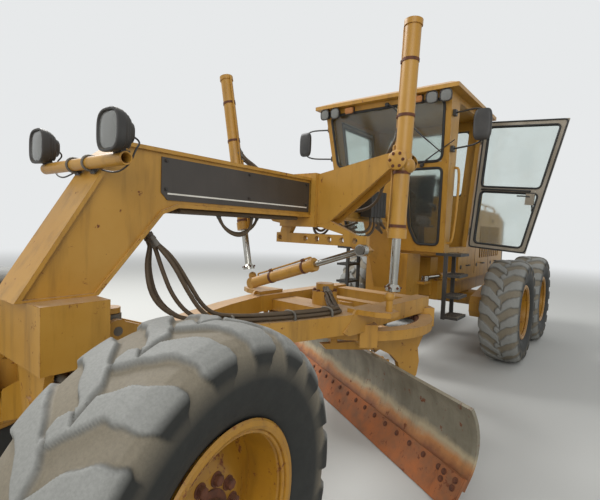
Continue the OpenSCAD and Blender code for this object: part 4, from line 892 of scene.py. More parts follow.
# places on the cab's leaning walls
cabLook = {
    "floor": 1450,
    "roof": 3090,
    "lowHalf": 640,
    "highHalf": 760,
    "front": 2250,
    "lean": 360,
    "back": 1250,
    "hingeX": 1434,
    "hingeOut": 12,
    "doorOpen": {1: 90, -1: 0},
}
cabRise = cabLook["roof"] - cabLook["floor"]
sideLean = math.atan((cabLook["highHalf"] - cabLook["lowHalf"]) / cabRise)
frontOut = Vector((cabRise, 0, -cabLook["lean"])).normalized()


def halfWidth(z):
    return cabLook["lowHalf"] + (cabLook["highHalf"] - cabLook["lowHalf"]) * (z - cabLook["floor"]) / cabRise


def onSide(side, x, z, out):
    # z runs along the leaning wall, out is counted outwards from its face
    wall = Matrix.Translation(spot(0, side * cabLook["lowHalf"], cabLook["floor"]))
    tilted = wall @ Matrix.Rotation(-side * sideLean, 4, "X")
    return tilted @ Vector((x / 1000, side * out / 1000, (z - cabLook["floor"]) / 1000))


def onFront(y, z, out):
    x = cabLook["front"] + cabLook["lean"] * (z - cabLook["floor"]) / cabRise
    return spot(x, y, z) + frontOut * (out / 1000)


def doorTurn(side):
    # swings what is drawn on a closed door to where the door stands
    y = side * (cabLook["lowHalf"] + cabLook["hingeOut"])
    foot = Matrix.Translation(spot(cabLook["hingeX"], y, cabLook["floor"]))
    tilt = Matrix.Rotation(-side * sideLean, 4, "X")
    swing = Matrix.Rotation(math.radians(cabLook["doorOpen"][side]), 4, "Z")
    return foot @ tilt @ swing @ tilt.inverted() @ foot.inverted()


def addSeal(shape, corners, radius, thick, inward=None):
    # round rubber along an edge, and small plates that round off a window's corners where inward is given
    arcs = cornerArcs(corners, radius)
    addTube(shape, [p for arc in arcs for p in arc], thick, 8, 0, True)
    if inward is not None:
        for corner, arc in zip(corners, arcs):
            addPlate(shape, [corner] + arc, Vector(inward) * 0.012, 1)


# rubber round the fixed windows, and the wipers
windowLook = {
    "screen": [(-640, 2424), (640, 2424), (684, 3026), (-684, 3026)],
    "lower": [(246, 2354), (246, 1728), (328, 1536), (574, 1536), (640, 2354)],
    "rear": [(-504, 2146), (504, 2146), (564, 2984), (-564, 2984)],
    "cornerRadius": 80,
    "lowerRadius": 56,
    "sealRadius": 15,
    "wipers": [[(60, 3052, 26), (110, 3046, 40), (300, 2830, 34), (520, 2620, 26)],
               [(430, 2392, 22), (440, 2400, 34), (520, 2470, 28), (640, 2540, 26)]],
    "blade": (-200, 160),
    "bladeIn": 12,
    "pivot": [(-30, 0), (-30, 20), (12, 20), (18, 14), (18, 0)],
}


def makeWindowSeals(look):
    shape = bmesh.new()
    thick = look["sealRadius"] / 1000
    radius = look["cornerRadius"] / 1000
    addSeal(shape, [onFront(y, z, 2) for y, z in look["screen"]], radius, thick, -frontOut)
    for side in (-1, 1):
        lower = [onFront(side * y, z, 2) for y, z in look["lower"]]
        addSeal(shape, lower, look["lowerRadius"] / 1000, thick, -frontOut)
    rear = [spot(cabLook["back"] - 2, y, z) for y, z in look["rear"]]
    addSeal(shape, rear, radius, thick, (1, 0, 0))
    makePiece("windowSeals", shape, ["sealRubber", "yellowEnamel"], "front_frame", smooth=50)
    wipers = bmesh.new()
    for points in look["wipers"]:
        route = [onFront(y, z, out) for y, z, out in points]
        addTube(wipers, smoothPath(route, 3), 0.007, 6)
        along = (route[-1] - route[-2]).normalized()
        middle = route[-1] - frontOut * (look["bladeIn"] / 1000)
        addTube(wipers, [middle + along * (a / 1000) for a in look["blade"]], 0.006, 4)
        addLathe(wipers, metres(look["pivot"]), aim(route[0], frontOut), 20)
    makePiece("wipers", wipers, ["blackPaint"], "front_frame")


makeWindowSeals(windowLook)


# door rubbers, latch box, tubes of the handles, and bolts of the hinge straps, all drawn on the closed door
doorLook = {
    "panes": [[(1514, 2260), (2141, 2260), (2251, 2966), (1514, 2966)],
              [(1514, 1574), (2035, 1574), (2132, 2200), (1514, 2200)]],
    "paneCorner": 50,
    "edge": [(1462, 1522), (2080, 1522), (2312, 3018), (1462, 3018)],
    "edgeCorner": 40,
    "thick": 38,
    "sealRadius": 11,
    "edgeRadius": 9,
    "latchBox": [(2013, 2070, -64), (2101, 2200, -38)],
    "lever": [(2055, 2160, -66), (2035, 2166, -84), (1925, 2164, -82)],
    "pull": [(2085, 2010, 0), (2079, 2014, 44), (2065, 2140, 44), (2069, 2144, 0)],
    "rail": [(1530, 2226, -40), (1536, 2226, -78), (2040, 2226, -78), (2046, 2226, -40)],
    "boltX": (1448, 1490),
    "boltZ": (1680, 1730, 2790, 2840),
    "boltOut": 10,
}


def makeDoorDressing(side, look):
    body = "door_left" if side > 0 else "door_right"
    turn = doorTurn(side)
    shape = bmesh.new()
    outward = Vector((0, side, 0))
    thick = look["thick"]
    for pane in look["panes"]:
        for out, inward in ((1, -outward), (-thick - 1, outward)):
            corners = [onSide(side, x, z, out) for x, z in pane]
            addSeal(shape, corners, look["paneCorner"] / 1000, look["sealRadius"] / 1000, inward)
    # rubber all round the door's inner edge
    edge = [onSide(side, x, z, -thick) for x, z in look["edge"]]
    addSeal(shape, edge, look["edgeCorner"] / 1000, look["edgeRadius"] / 1000)
    addBlock(shape, *(onSide(side, *corner) for corner in look["latchBox"]), finish=1)
    for key, steps, radius, sides in (("lever", 3, 0.008, 8), ("pull", 4, 0.009, 10), ("rail", 4, 0.011, 10)):
        addTube(shape, smoothPath([onSide(side, *point) for point in look[key]], steps), radius, sides, 2)
    bmesh.ops.transform(shape, matrix=turn, verts=shape.verts)
    finishNames = ["sealRubber", "doorGrey", "blackPaint"]
    makePiece(body + "Trim", shape, finishNames, body, smooth=50)
    bolts = []
    for x in look["boltX"]:
        for z in look["boltZ"]:
            bolts.append((turn @ onSide(side, x, z, look["boltOut"]), turn.to_3x3() @ outward))
    makeBolts(body + "Bolts", bolts, body, 16, 7)


for side in (-1, 1):
    makeDoorDressing(side, doorLook)
print("cab dressed")


# mirrors in rounded housings on bent tube brackets
mirrorLook = {
    "x": 2609,
    "centreOut": 315,
    "outAt": 2860,
    "middleZ": 2720,
    "tall": 150,
    "half": 84,
    "body": [(-20, 0), (-20, 58), (-16, 74), (-6, 82), (10, 84), (16, 83), (18, 79), (12, 76), (12, 0)],
    "glass": [(12.5, 75), (13.5, 72), (14, 0)],
    "square": 4,
    "back": -34,
    "posts": [(2500, 2895, 50), (2440, 2545, -50)],
    "postOut": 16,
    "postFoot": (30, 16, 30),
    "tube": 9,
    "bar": 60,
    "barTube": 12,
    "joint": [(-44, -20, -20), (-12, 20, 20)],
}


def makeMirrors(look):
    shape = bmesh.new()
    glass = bmesh.new()
    upright = Matrix.Rotation(math.radians(90), 4, "Z")
    stretch = upright @ Matrix.Diagonal((look["tall"] / look["half"], 1, 1, 1))
    back, foot = look["back"], mm(*look["postFoot"])
    for side in (-1, 1):
        y = side * (halfWidth(look["outAt"]) + look["centreOut"])
        middle = spot(look["x"], y, look["middleZ"])
        at = aim(middle, (-1, 0, 0)) @ stretch
        addLathe(shape, metres(look["body"]), at, 56, 0, look["square"])
        addLathe(glass, metres(look["glass"]), at, 56, 0, look["square"])
        for x, z, inner in look["posts"]:
            post = onSide(side, x, z, look["postOut"])
            route = [post, spot(look["x"] + back, y, z), middle + mm(back, 0, inner)]
            addTube(shape, smoothPath(route, 6), look["tube"] / 1000, 10)
            addBlock(shape, post - foot, post + foot)
        bar = [middle + mm(back, 0, end * look["bar"]) for end in (-1, 1)]
        addTube(shape, bar, look["barTube"] / 1000, 10)
        addBlock(shape, *(middle + mm(*corner) for corner in look["joint"]))
    makePiece("mirrorHousings", shape, ["blackPaint"], "front_frame", ["mirrors"], smooth=40)
    makePiece("mirrorGlass", glass, ["mirrorSilver"], "front_frame", ["mirrors"])


makeMirrors(mirrorLook)
print("mirrors made")


# where the drawbar, the circle and the blade stand as parked
workLook = {
    "ballX": 5660,
    "saddleX": 3930,
    "circleX": 3340,
    "swing": 3,
    "bladeTurn": 30,
}
ball = Matrix.Translation(spot(workLook["ballX"], 0, 0))
drawbarTurn = ball @ Matrix.Rotation(math.radians(-workLook["swing"]), 4, "Z") @ ball.inverted()
circleMiddle = drawbarTurn @ spot(workLook["circleX"], 0, 0)
bladeTurn = Matrix.Translation(circleMiddle) @ Matrix.Rotation(math.radians(-workLook["bladeTurn"]), 4, "Z")


def onBlade(x, y, z):
    # counted from the circle's centre, with the blade square to the machine
    return bladeTurn @ mm(x, y, z)


def addBand(shape, place, axis, out, look):
    # strap round a barrel, with the clip that holds the hard line
    r, half = look["barrel"], look["bandHalf"]
    ring = [(-half, r - 1), (-half, r + 4), (half, r + 4), (half, r - 1)]
    addLathe(shape, metres(ring), aim(place, axis), look["bandSides"], 1)
    lift, clipHalf, clipRadius = look["clip"]
    middle = place + out * ((r + lift) / 1000)
    addTube(shape, [middle + axis * (end * clipHalf / 1000) for end in (-1, 1)], clipRadius / 1000, 8, 1)


def addHardLine(shape, origin, axis, out, low, high, look):
    # thin tube along a barrel, which dips into it at both ends
    dip, knee, run = look["lineHeights"]
    line = [(low, dip), (low, knee), (low + 60, run), (high - 60, run), (high, knee), (high, dip)]
    route = [origin + axis * (along / 1000) + out * (height / 1000) for along, height in line]
    addTube(shape, smoothPath(route, 3), look["line"] / 1000, 8)


# lift cylinders: hard lines on bands, the domed trunnion cap, the end cap, and the clamp bolts of the foot
liftLook = {
    "footY": {1: 839.5, -1: -658.4},
    "footZ": 1185,
    "topY": 870,
    "topZ": 2180,
    "barrel": 58,
    "line": 8,
    "lines": [(-13, -525, 980), (13, -525, 120)],
    "lineHeights": (54, 78, 72),
    "bands": (-470, -80, 330, 720),
    "bandHalf": 11,
    "bandSides": 40,
    "clip": (8, 11, 14),
    "boss": 56,
    "bossOut": 44,
    "bossIn": 20,
    "bossUnder": 30,
    "endCap": [(998, 66), (1004, 60), (1008, 30), (1009, 0)],
    "footBolts": 6,
    "boltUp": {1: 68, -1: 92},
    "boltOut": 55.5,
}


def makeLiftFittings(side, look):
    name = "left" if side > 0 else "right"
    foot = spot(workLook["saddleX"], look["footY"][side], look["footZ"])
    top = spot(workLook["saddleX"], side * look["topY"], look["topZ"])
    axis = (top - foot).normalized()
    inward = Vector((0, -side, 0))
    inward = (inward - axis * inward.dot(axis)).normalized()
    across = axis.cross(inward)
    shape = bmesh.new()
    for along in look["bands"]:
        addBand(shape, top + axis * (along / 1000), axis, inward, look)
    for shift, low, high in look["lines"]:
        addHardLine(shape, top + across * (shift / 1000), axis, inward, low, high, look)
    dome = [(-look["bossIn"], look["boss"])]
    for k in range(8):
        t = k * math.pi / 16
        dome.append((look["bossOut"] * math.sin(t), look["boss"] * math.cos(t)))
    place = top - inward * (look["barrel"] * 0.85 / 1000) - axis * (look["bossUnder"] / 1000)
    addLathe(shape, metres(dome + [(look["bossOut"], 0)]), aim(place, -inward), 40)
    addLathe(shape, metres(look["endCap"]), aim(top, axis), 40)
    finishNames = ["yellowEnamel", "rustyIron"]
    makePiece("liftFittings_" + name, shape, finishNames, "lift_barrel_" + name)
    bolts = []
    for k in range(look["footBolts"]):
        t = 2 * math.pi * (k + 0.5) / look["footBolts"]
        out = inward * math.cos(t) + across * math.sin(t)
        bolts.append((foot + axis * (look["boltUp"][side] / 1000) + out * (look["boltOut"] / 1000), out))
    makeBolts("footBolts_" + name, bolts, "lift_rod_" + name, 13, 8)


for side in (-1, 1):
    makeLiftFittings(side, liftLook)


# bolted bearing covers on the ends of the rocker arms
capLook = {
    "cheek": 94,
    "cover": [(0, 70), (12, 70), (16, 65), (16, 0)],
    "bolts": 6,
    "ring": 50,
}


def makeArmCaps(look):
    shape = bmesh.new()
    bolts = []
    for side in (-1, 1):
        for x in (-1, 1):
            face = spot(workLook["saddleX"] + x * look["cheek"], side * liftLook["topY"], liftLook["topZ"])
            addLathe(shape, metres(look["cover"]), aim(face, (x, 0, 0)), 40)
            for k in range(look["bolts"]):
                t = 2 * math.pi * k / look["bolts"]
                out = mm(x * look["cover"][-1][0], math.cos(t) * look["ring"], math.sin(t) * look["ring"])
                bolts.append((face + out, (x, 0, 0)))
    makePiece("armCaps", shape, ["yellowEnamel", "rustyIron"], "front_frame", smooth=45)
    makeBolts("armBolts", bolts, "front_frame", 15, 8)


makeArmCaps(capLook)


# shift cylinder: hard line on two bands
shiftLook = {
    "x": 4083,
    "eye": (650, 1520),
    "foot": (-468.7, 1150),
    "barrel": 48,
    "line": 8,
    "start": 470,
    "end": 1090,
    "lineHeights": (45, 68, 63),
    "bands": (560, 930),
    "bandHalf": 12,
    "bandSides": 36,
    "clip": (12, 14, 16),
}


def makeShiftFittings(look):
    eye = spot(look["x"], *look["eye"])
    axis = (spot(look["x"], *look["foot"]) - eye).normalized()
    up = Vector((1, 0, 0)).cross(axis)
    up = up if up.z > 0 else -up
    shape = bmesh.new()
    addHardLine(shape, eye, axis, up, look["start"], look["end"], look)
    for along in look["bands"]:
        addBand(shape, eye + axis * (along / 1000), axis, up, look)
    makePiece("shiftFittings", shape, ["yellowEnamel", "rustyIron"], "shift_barrel")


makeShiftFittings(shiftLook)
print("cylinders dressed")


# hoses: points in millimetres, from the fitting to the far end
hoseLook = {
    "radius": 13,
    "thin": 0.8,
    "ends": [(4, 50, 1.28, 10), (12, 6, 1.55, 6)],
    "follow": [1, 0.8, 0.4],
    "loops": [
        [(3925, 806, 2420), (3900, 770, 2330), (3850, 700, 2262), (3790, 620, 2150), (3740, 500, 2060),
         (3680, 380, 2110), (3620, 260, 2130), (3570, 150, 2112), (3540, 90, 2096)],
        [(3930, 806, 2380), (3885, 750, 2305), (3822, 690, 2200), (3770, 590, 2010), (3700, 440, 1930),
         (3610, 300, 1950), (3560, 180, 1985), (3540, 128, 1990)],
        [(3915, 806, 2340), (3876, 770, 2290), (3826, 720, 2200), (3800, 660, 2040), (3790, 600, 1880),
         (3760, 420, 1820), (3700, 240, 1850), (3640, 128, 1880)],
    ],
    "valveDrops": [
        [(3210, 240, 1800), (3225, 250, 1700), (3330, 240, 1640), (3520, 180, 1660), (3640, 120, 1735)],
        [(3150, 250, 1800), (3170, 262, 1680), (3300, 255, 1600), (3520, 200, 1620), (3700, 90, 1740)],
        [(3090, 240, 1800), (3082, 258, 1715), (3010, 262, 1650), (2900, 210, 1652), (2850, 128, 1700)],
        [(3030, 240, 1800), (3020, 268, 1730), (2960, 272, 1690), (2880, 220, 1710), (2840, 128, 1750)],
    ],
    "under": [
        [(4980, 60, 1762), (4940, 90, 1640), (4820, 110, 1590), (4700, 96, 1640), (4660, 70, 1762)],
        [(4900, -40, 1762), (4860, -20, 1660), (4740, 0, 1600), (4600, 20, 1650), (4560, 40, 1762)],
    ],
    "bundle": [(5452, 40, 1574), (5428, 50, 1530), (5400, 70, 1420), (5350, 110, 1250), (5260, 150, 1130),
               (5130, 170, 1072), (4960, 218, 1064), (4800, 282, 1062), (4600, 362, 1062), (4420, 420, 1062),
               (4200, 470, 1064), (4080, 380, 1040), (3960, 260, 1030), (3840, 140, 1060), (3790, 60, 1120)],
    "fan": [1, 1.6, 2.2, 2.4, 2.0, 1.5, 1.1, 1, 1, 1, 1, 1.2, 1.6, 1.4, 1],
    "sag": [0, 0, 40, 60, 46, 24, 8, 0, 0, 0, 0, 0, 0, 0, 0],
    "strands": [(0, 0, 0), (30, 4, 1), (-30, 2, -1), (14, 28, 1.7), (-16, 27, -1.6)],
    "straps": [(5000, 205), (4600, 362), (4300, 450)],
    "arch": [(-52, 1046), (-52, 1082), (-34, 1102), (34, 1104), (52, 1082), (52, 1046)],
    "strapRadius": 9,
}


def addHose(shape, route, radius):
    # a crimped ferrule and a nut at both ends
    path = smoothPath(route, 5)
    addTube(shape, path, radius, 10)
    for end, inner in ((path[0], path[1]), (path[-1], path[-2])):
        inward = (inner - end).normalized()
        for outside, inside, share, sides in hoseLook["ends"]:
            sleeve = [end - inward * (outside / 1000), end + inward * (inside / 1000)]
            addTube(shape, sleeve, radius * share, sides, 1)


def makeHoses(look):
    thick = look["radius"] / 1000
    frameHoses = bmesh.new()
    for side, name in ((1, "left"), (-1, "right")):
        for route in look["valveDrops"]:
            addHose(frameHoses, [spot(x, side * y, z) for x, y, z in route], thick)
        # three hoses to each lift cylinder, whose tops lean with it
        pair = bmesh.new()
        lean = (liftLook["topY"] - side * liftLook["footY"][side]) / (liftLook["topZ"] - liftLook["footZ"])
        for route in look["loops"]:
            points = []
            for (x, y, z), share in zip(route, look["follow"] + [0] * len(route)):
                points.append(spot(x, side * (y + share * (lean * (z - liftLook["topZ"]) + 8)), z))
            addHose(pair, points, thick)
        finishNames = ["hoseRubber", "castIron"]
        piece = makePiece("liftHoses_" + name, pair, finishNames, None, smooth=50)
        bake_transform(piece)
    for route in look["under"]:
        addHose(frameHoses, [spot(x, y, z) for x, y, z in route], thick * look["thin"])
    makePiece("frameHoses", frameHoses, ["hoseRubber", "castIron"], "front_frame", smooth=50)
    bundle = bmesh.new()
    for across, lift, hang in look["strands"]:
        moved = []
        for (x, y, z), fan, sag in zip(look["bundle"], look["fan"], look["sag"]):
            place = spot(x + lift * 0.4 - hang * sag, y + across * fan, z + lift + hang * sag * 0.4)
            moved.append(drawbarTurn @ place)
        addHose(bundle, moved, thick)
    # straps over the bundle on the drawbar's leg
    for x, y in look["straps"]:
        arch = [drawbarTurn @ spot(x, y + a, z) for a, z in look["arch"]]
        addTube(bundle, smoothPath(arch, 3), look["strapRadius"] / 1000, 6, 1)
    piece = makePiece("drawbarHoses", bundle, ["hoseRubber", "castIron"], None, smooth=50)
    # the upper end stays with the swivel while the drawbar lifts
    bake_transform(piece)


makeHoses(hoseLook)
print("hoses made")


# blade: end bits on the cutting edge, and the bolts along it
bladeLook = {
    "tail": -1999,
    "head": 1659,
    "lipX": 63.4,
    "lipZ": 190,
    "lean": 30.56,
    "edgeOut": 20,
    "pitch": 152.4,
    "firstBolt": 60,
    "boltRows": (44, 92),
    "endBit": 190,
    "endThick": 14,
    "endRows": (8, 200, 219),
    "endGap": 2,
    "endCorner": 24,
    "endBolt": 45,
}


def onLip(look, y, down, out):
    c, s = math.cos(math.radians(look["lean"])), math.sin(math.radians(look["lean"]))
    return onBlade(look["lipX"] + down * s + out * c, y, look["lipZ"] - down * c + out * s)


def makeBladeDetails(look):
    normal = onLip(look, 0, 0, 1000) - onLip(look, 0, 0, 0)
    tail, head, bit, out = (look[k] for k in ("tail", "head", "endBit", "edgeOut"))
    bolts = []
    for k in range(int((head - tail - 2 * bit) / look["pitch"]) + 1):
        y = tail + bit + look["firstBolt"] + k * look["pitch"]
        bolts.append((onLip(look, y, look["boltRows"][0], out), normal))
    shape = bmesh.new()
    top, bend, bottom = look["endRows"]
    gap, corner, inset = look["endGap"], look["endCorner"], look["endBolt"]
    for low, high in ((tail, tail + bit), (head - bit, head)):
        outline = [(low + gap, top), (high - gap, top), (high - gap, bend), (high - corner, bottom),
                   (low + corner, bottom), (low + gap, bend)]
        depth = normal.normalized() * (look["endThick"] / 1000)
        addPlate(shape, [onLip(look, y, down, out + 0.3) for y, down in outline], depth)
        for y in (low + inset, high - inset):
            for down in look["boltRows"]:
                bolts.append((onLip(look, y, down, out + look["endThick"]), normal))
    makePiece("endBits", shape, ["edgeSteel"], "moldboard", bevel=0.002)
    makeBolts("edgeBolts", bolts, "moldboard", 26, 9)


makeBladeDetails(bladeLook)


# circle: teeth round its inside, and bolts on the shoes and the gear case of the drawbar
circleLook = {
    "inner": 656,
    "teeth": 72,
    "toothSize": (26, 22, 66),
    "toothOut": 12,
    "middleZ": 840,
    "shoeTop": 940,
    "shoeTurns": (45, 135, 225, 315),
    "shoeRadii": (570, 730),
    "shoeHalf": 44,
    "gearX": 3740,
    "gearTop": 1119,
    "gearRing": 96,
    "gearBolts": 10,
}


def makeCircleDetails(look):
    teeth = []
    for k in range(look["teeth"]):
        t = 2 * math.pi * k / look["teeth"]
        out = Vector((math.cos(t), math.sin(t), 0))
        middle = circleMiddle + out * ((look["inner"] - look["toothOut"]) / 1000) + mm(0, 0, look["middleZ"])
        teeth.append((middle, out))
    makeBlocks("circleTeeth", teeth, "circle", look["toothSize"], "rustyIron")
    bolts = []
    for a in look["shoeTurns"]:
        t = math.radians(a)
        for radial in look["shoeRadii"]:
            for side in (-look["shoeHalf"], look["shoeHalf"]):
                x = workLook["circleX"] + radial * math.cos(t) - side * math.sin(t)
                y = radial * math.sin(t) + side * math.cos(t)
                bolts.append((drawbarTurn @ spot(x, y, look["shoeTop"]), (0, 0, 1)))
    for k in range(look["gearBolts"]):
        t = 2 * math.pi * k / look["gearBolts"]
        ring = look["gearRing"]
        place = spot(look["gearX"] + ring * math.cos(t), ring * math.sin(t), look["gearTop"])
        bolts.append((drawbarTurn @ place, (0, 0, 1)))
    makeBolts("drawbarBolts", bolts, "drawbar", 24, 14)


makeCircleDetails(circleLook)
print("blade and circle dressed")


# hood: louvre slats, seams, handles, latches, top rails and caps; lamps and bolts on the rear bumper
hoodLook = {
    "half": 420,
    "top": 2050,
    "low": 1050,
    "slatSize": (78, 3, 16),
    "slatX": (-1260, 130, 10),
    "slatZ": (1318, 464, 14),
    "slatIn": 12,
    "seams": (-620, 180),
    "seamSize": (4, 0.5, 2.5, 20),
    "handleX": (-1100, -230, 560),
    "handleZ": 1215,
    "handle": [(-60, 0), (-56, 38), (56, 38), (60, 0)],
    "latchX": 300,
    "latchZ": (1900, 1200),
    "latch": [(0, 30), (4, 30), (7, 26), (7, 0)],
    "railY": 360,
    "rail": [(-1150, 2050), (-1140, 2150), (700, 2150), (710, 2050)],
    "posts": (-500, 200),
    "postZ": (2048, 2140),
    "caps": [(-500, 150, [(700, 62), (720, 66), (730, 60), (735, 0)], 32),
             (200, -150, [(400, 78), (420, 120), (470, 125), (490, 110), (500, 40), (500, 0)], 36)],
    "lamp": (-1811, 470, 910),
    "lampLens": [(0, 52), (12, 52), (20, 44), (24, 20), (25, 0)],
    "bumperX": -1810.5,
    "bumperY": (160, 300),
    "bumperZ": (830, 990),
}


def makeHoodDetails(look):
    slats = []
    firstX, stepX, columns = look["slatX"]
    firstZ, reachZ, rows = look["slatZ"]
    for side in (-1, 1):
        for i in range(columns):
            for k in range(rows):
                z = firstZ + k * reachZ / (rows - 1)
                slats.append((spot(firstX + i * stepX, side * (look["half"] - look["slatIn"]), z), (1, 0, 0)))
    makeBlocks("hoodSlats", slats, "rear_frame", look["slatSize"], "blackPaint")
    shape = bmesh.new()
    half, inside, outside, inset = look["seamSize"]
    for side in (-1, 1):
        out = side * look["half"]
        for x in look["seams"]:
            low = spot(x - half, out - inside, look["low"] + inset)
            high = spot(x + half, out + side * outside, look["top"] - inset)
            addBlock(shape, low, high, 1)
        for x in look["handleX"]:
            pull = [spot(x + a, out + side * b, look["handleZ"]) for a, b in look["handle"]]
            addTube(shape, smoothPath(pull, 4), 0.009, 10, 1)
            for z in look["latchZ"]:
                at = aim(spot(x + look["latchX"], out, z), (0, side, 0))
                addLathe(shape, metres(look["latch"]), at, 24, 1)
        y = side * look["railY"]
        addTube(shape, smoothPath([spot(x, y, z) for x, z in look["rail"]], 5), 0.016, 12)
        for x in look["posts"]:
            addTube(shape, [spot(x, y, z) for z in look["postZ"]], 0.012, 10)
    for x, y, profile, steps in look["caps"]:
        addLathe(shape, metres(profile), aim(spot(x, y, look["top"]), (0, 0, 1)), steps, 1)
    makePiece("hoodFittings", shape, ["yellowEnamel", "blackPaint"], "rear_frame")
    lamps = bmesh.new()
    bolts = []
    x, y, z = look["lamp"]
    for side in (-1, 1):
        addLathe(lamps, metres(look["lampLens"]), aim(spot(x, side * y, z), (-1, 0, 0)), 32)
        for boltY in look["bumperY"]:
            for boltZ in look["bumperZ"]:
                bolts.append((spot(look["bumperX"], side * boltY, boltZ), (-1, 0, 0)))
    makePiece("tailLamps", lamps, ["redLens"], "rear_frame")
    makeBolts("bumperBolts", bolts, "rear_frame", 30, 16)


makeHoodDetails(hoodLook)


# steps: cleats on the treads and hand rails beside the door
stepLook = {
    "x": (1990, 2240),
    "y": (672, 812),
    "tops": (760, 990, 1220),
    "back": {1: 0, -1: -160},
    "cleat": (22, 6, 7),
    "columns": 9,
    "rows": 6,
    "cleatTurn": 0.6,
    "cleatUp": 2,
    "rails": [(2180, 1560, 2380, 60), (1300, 1600, 2500, 0)],
    "railOut": 60,
    "railBend": 10,
    "railRadius": 14,
}


def makeStepDetails(look):
    cleats = []
    x0, x1 = look["x"]
    y0, y1 = look["y"]
    columns, rows = look["columns"], look["rows"]
    for side in (-1, 1):
        for top in look["tops"]:
            for i in range(columns):
                turn = look["cleatTurn"] if i % 2 else -look["cleatTurn"]
                for k in range(rows):
                    x = x0 + i * (x1 - x0) / (columns - 1) + look["back"][side]
                    y = y0 + (k + (i % 2) / 2) * (y1 - y0) / rows
                    cleats.append((spot(x, side * y, top + look["cleatUp"]), (1, turn, 0)))
    makeBlocks("stepCleats", cleats, "front_frame", look["cleat"], "blackPaint")
    shape = bmesh.new()
    out, bend = look["railOut"], look["railBend"]
    for side in (-1, 1):
        for x, low, high, ahead in look["rails"]:
            rail = [(x, low, 0), (x, low + bend, out), (x + ahead, high - bend, out), (x + ahead, high, 0)]
            route = [onSide(side, *point) for point in rail]
            addTube(shape, smoothPath(route, 5), look["railRadius"] / 1000, 12)
    makePiece("handRails", shape, ["yellowEnamel"], "front_frame")


makeStepDetails(stepLook)
print("hood and steps dressed")


# cab inside: seat frame with padded cushions, knobs on the levers
seatLook = {
    "cushion": [(1496, 1764), (1944, 1764), (1944, 1852), (1496, 1852)],
    "cushionHalf": 232,
    "backrest": [(1500, 1886), (1574, 1886), (1488, 2446), (1424, 2446)],
    "backHalf": 222,
    "round": 22,
    "voxel": 0.008,
    "pressure": 4,
    "steps": 20,
    "cap": 0.024,
    "pedestal": [(1560, 1491), (1820, 1491), (1790, 1740), (1590, 1740)],
    "pedestalHalf": 150,
    "pan": [(1490, -236, 1738), (1950, 236, 1760)],
    "shell": [(1486, 1870), (1498, 1870), (1420, 2430), (1408, 2430)],
    "shellHalf": 200,
    "arm": [(1500, 240, 1950), (1520, 262, 2010), (1760, 266, 2014), (1800, 266, 2000)],
    "armRadii": (16, 24),
    "knobs": 5,
    "firstKnob": (2205, 125, 2036),
    "knobStep": (0, 34, 6),
    "knob": [(0, 0), (0, 12), (12, 17), (40, 19), (52, 13), (56, 0)],
}


def addFlat(shape, outline, half):
    # side view pushed across the seat
    addPlate(shape, [spot(x, -half, z) for x, z in outline], mm(0, 2 * half, 0))


def makePad(name, outline, half, look):
    shape = bmesh.new()
    addFlat(shape, outline, half)
    bmesh.ops.recalc_face_normals(shape, faces=shape.faces)
    bmesh.ops.bevel(shape, geom=list(shape.edges), offset=look["round"] / 1000, segments=4, affect="EDGES",
                    clamp_overlap=True)
    mesh = bpy.data.meshes.new(name + "Start")
    shape.to_mesh(mesh)
    shape.free()
    pad = bpy.data.objects.new(name + "Start", mesh)
    scene.collection.objects.link(pad)
    remesh = pad.modifiers.new("evenGrid", "REMESH")
    remesh.mode = "VOXEL"
    remesh.voxel_size = look["voxel"]
    pad.data = bakedMesh(pad)
    pad.modifiers.clear()
    rest = np.empty(len(pad.data.vertices) * 3, np.float32)
    pad.data.vertices.foreach_get("co", rest)
    cloth = pad.modifiers.new("filling", "CLOTH")
    cloth.settings.use_pressure = True
    cloth.settings.uniform_pressure_force = look["pressure"]
    cloth.settings.effector_weights.gravity = 0
    for frameNumber in range(1, look["steps"] + 1):
        scene.frame_set(frameNumber)
    puffed = bakedMesh(pad)
    moved = np.empty_like(rest)
    puffed.vertices.foreach_get("co", moved)
    # no point moves further than the cap
    step = (moved - rest).reshape(-1, 3)
    reach = np.linalg.norm(step, axis=1, keepdims=True)
    step = step * np.minimum(1, look["cap"] / np.maximum(reach, 1e-6))
    pad.modifiers.clear()
    pad.data.vertices.foreach_set("co", (rest.reshape(-1, 3) + step).ravel())
    pad.data.update()
    scene.frame_set(1)
    finer = pad.modifiers.new("finer", "SUBSURF")
    finer.levels = finer.render_levels = 1
    mesh = bakedMesh(pad)
    mesh.name = name
    bpy.data.objects.remove(pad)
    mesh.materials.clear()
    piece = placePiece(name, mesh, ["seatCloth"], "front_frame", ["seat"], 80)


def makeSeat(look):
    makePad("seatCushion", look["cushion"], look["cushionHalf"], look)
    makePad("seatBackrest", look["backrest"], look["backHalf"], look)
    shape = bmesh.new()
    addFlat(shape, look["pedestal"], look["pedestalHalf"])
    addBlock(shape, *(spot(*corner) for corner in look["pan"]))
    addFlat(shape, look["shell"], look["shellHalf"])
    thin, thick = (r / 1000 for r in look["armRadii"])
    for side in (-1, 1):
        arm = smoothPath([spot(x, side * y, z) for x, y, z in look["arm"]], 4)
        addTube(shape, arm, [thin] * 3 + [thick] * (len(arm) - 3), 12)
    makePiece("seatFrame", shape, ["blackPaint"], "front_frame", ["seat"], bevel=0.004)
    knobs = bmesh.new()
    for side in (-1, 1):
        for i in range(look["knobs"]):
            x, y, z = (first + i * step for first, step in zip(look["firstKnob"], look["knobStep"]))
            addLathe(knobs, metres(look["knob"]), aim(spot(x, side * y, z), (0.1, 0, 1)), 20)
    makePiece("leverKnobs", knobs, ["sealRubber"], "front_frame")


makeSeat(seatLook)
print("cab inside dressed")


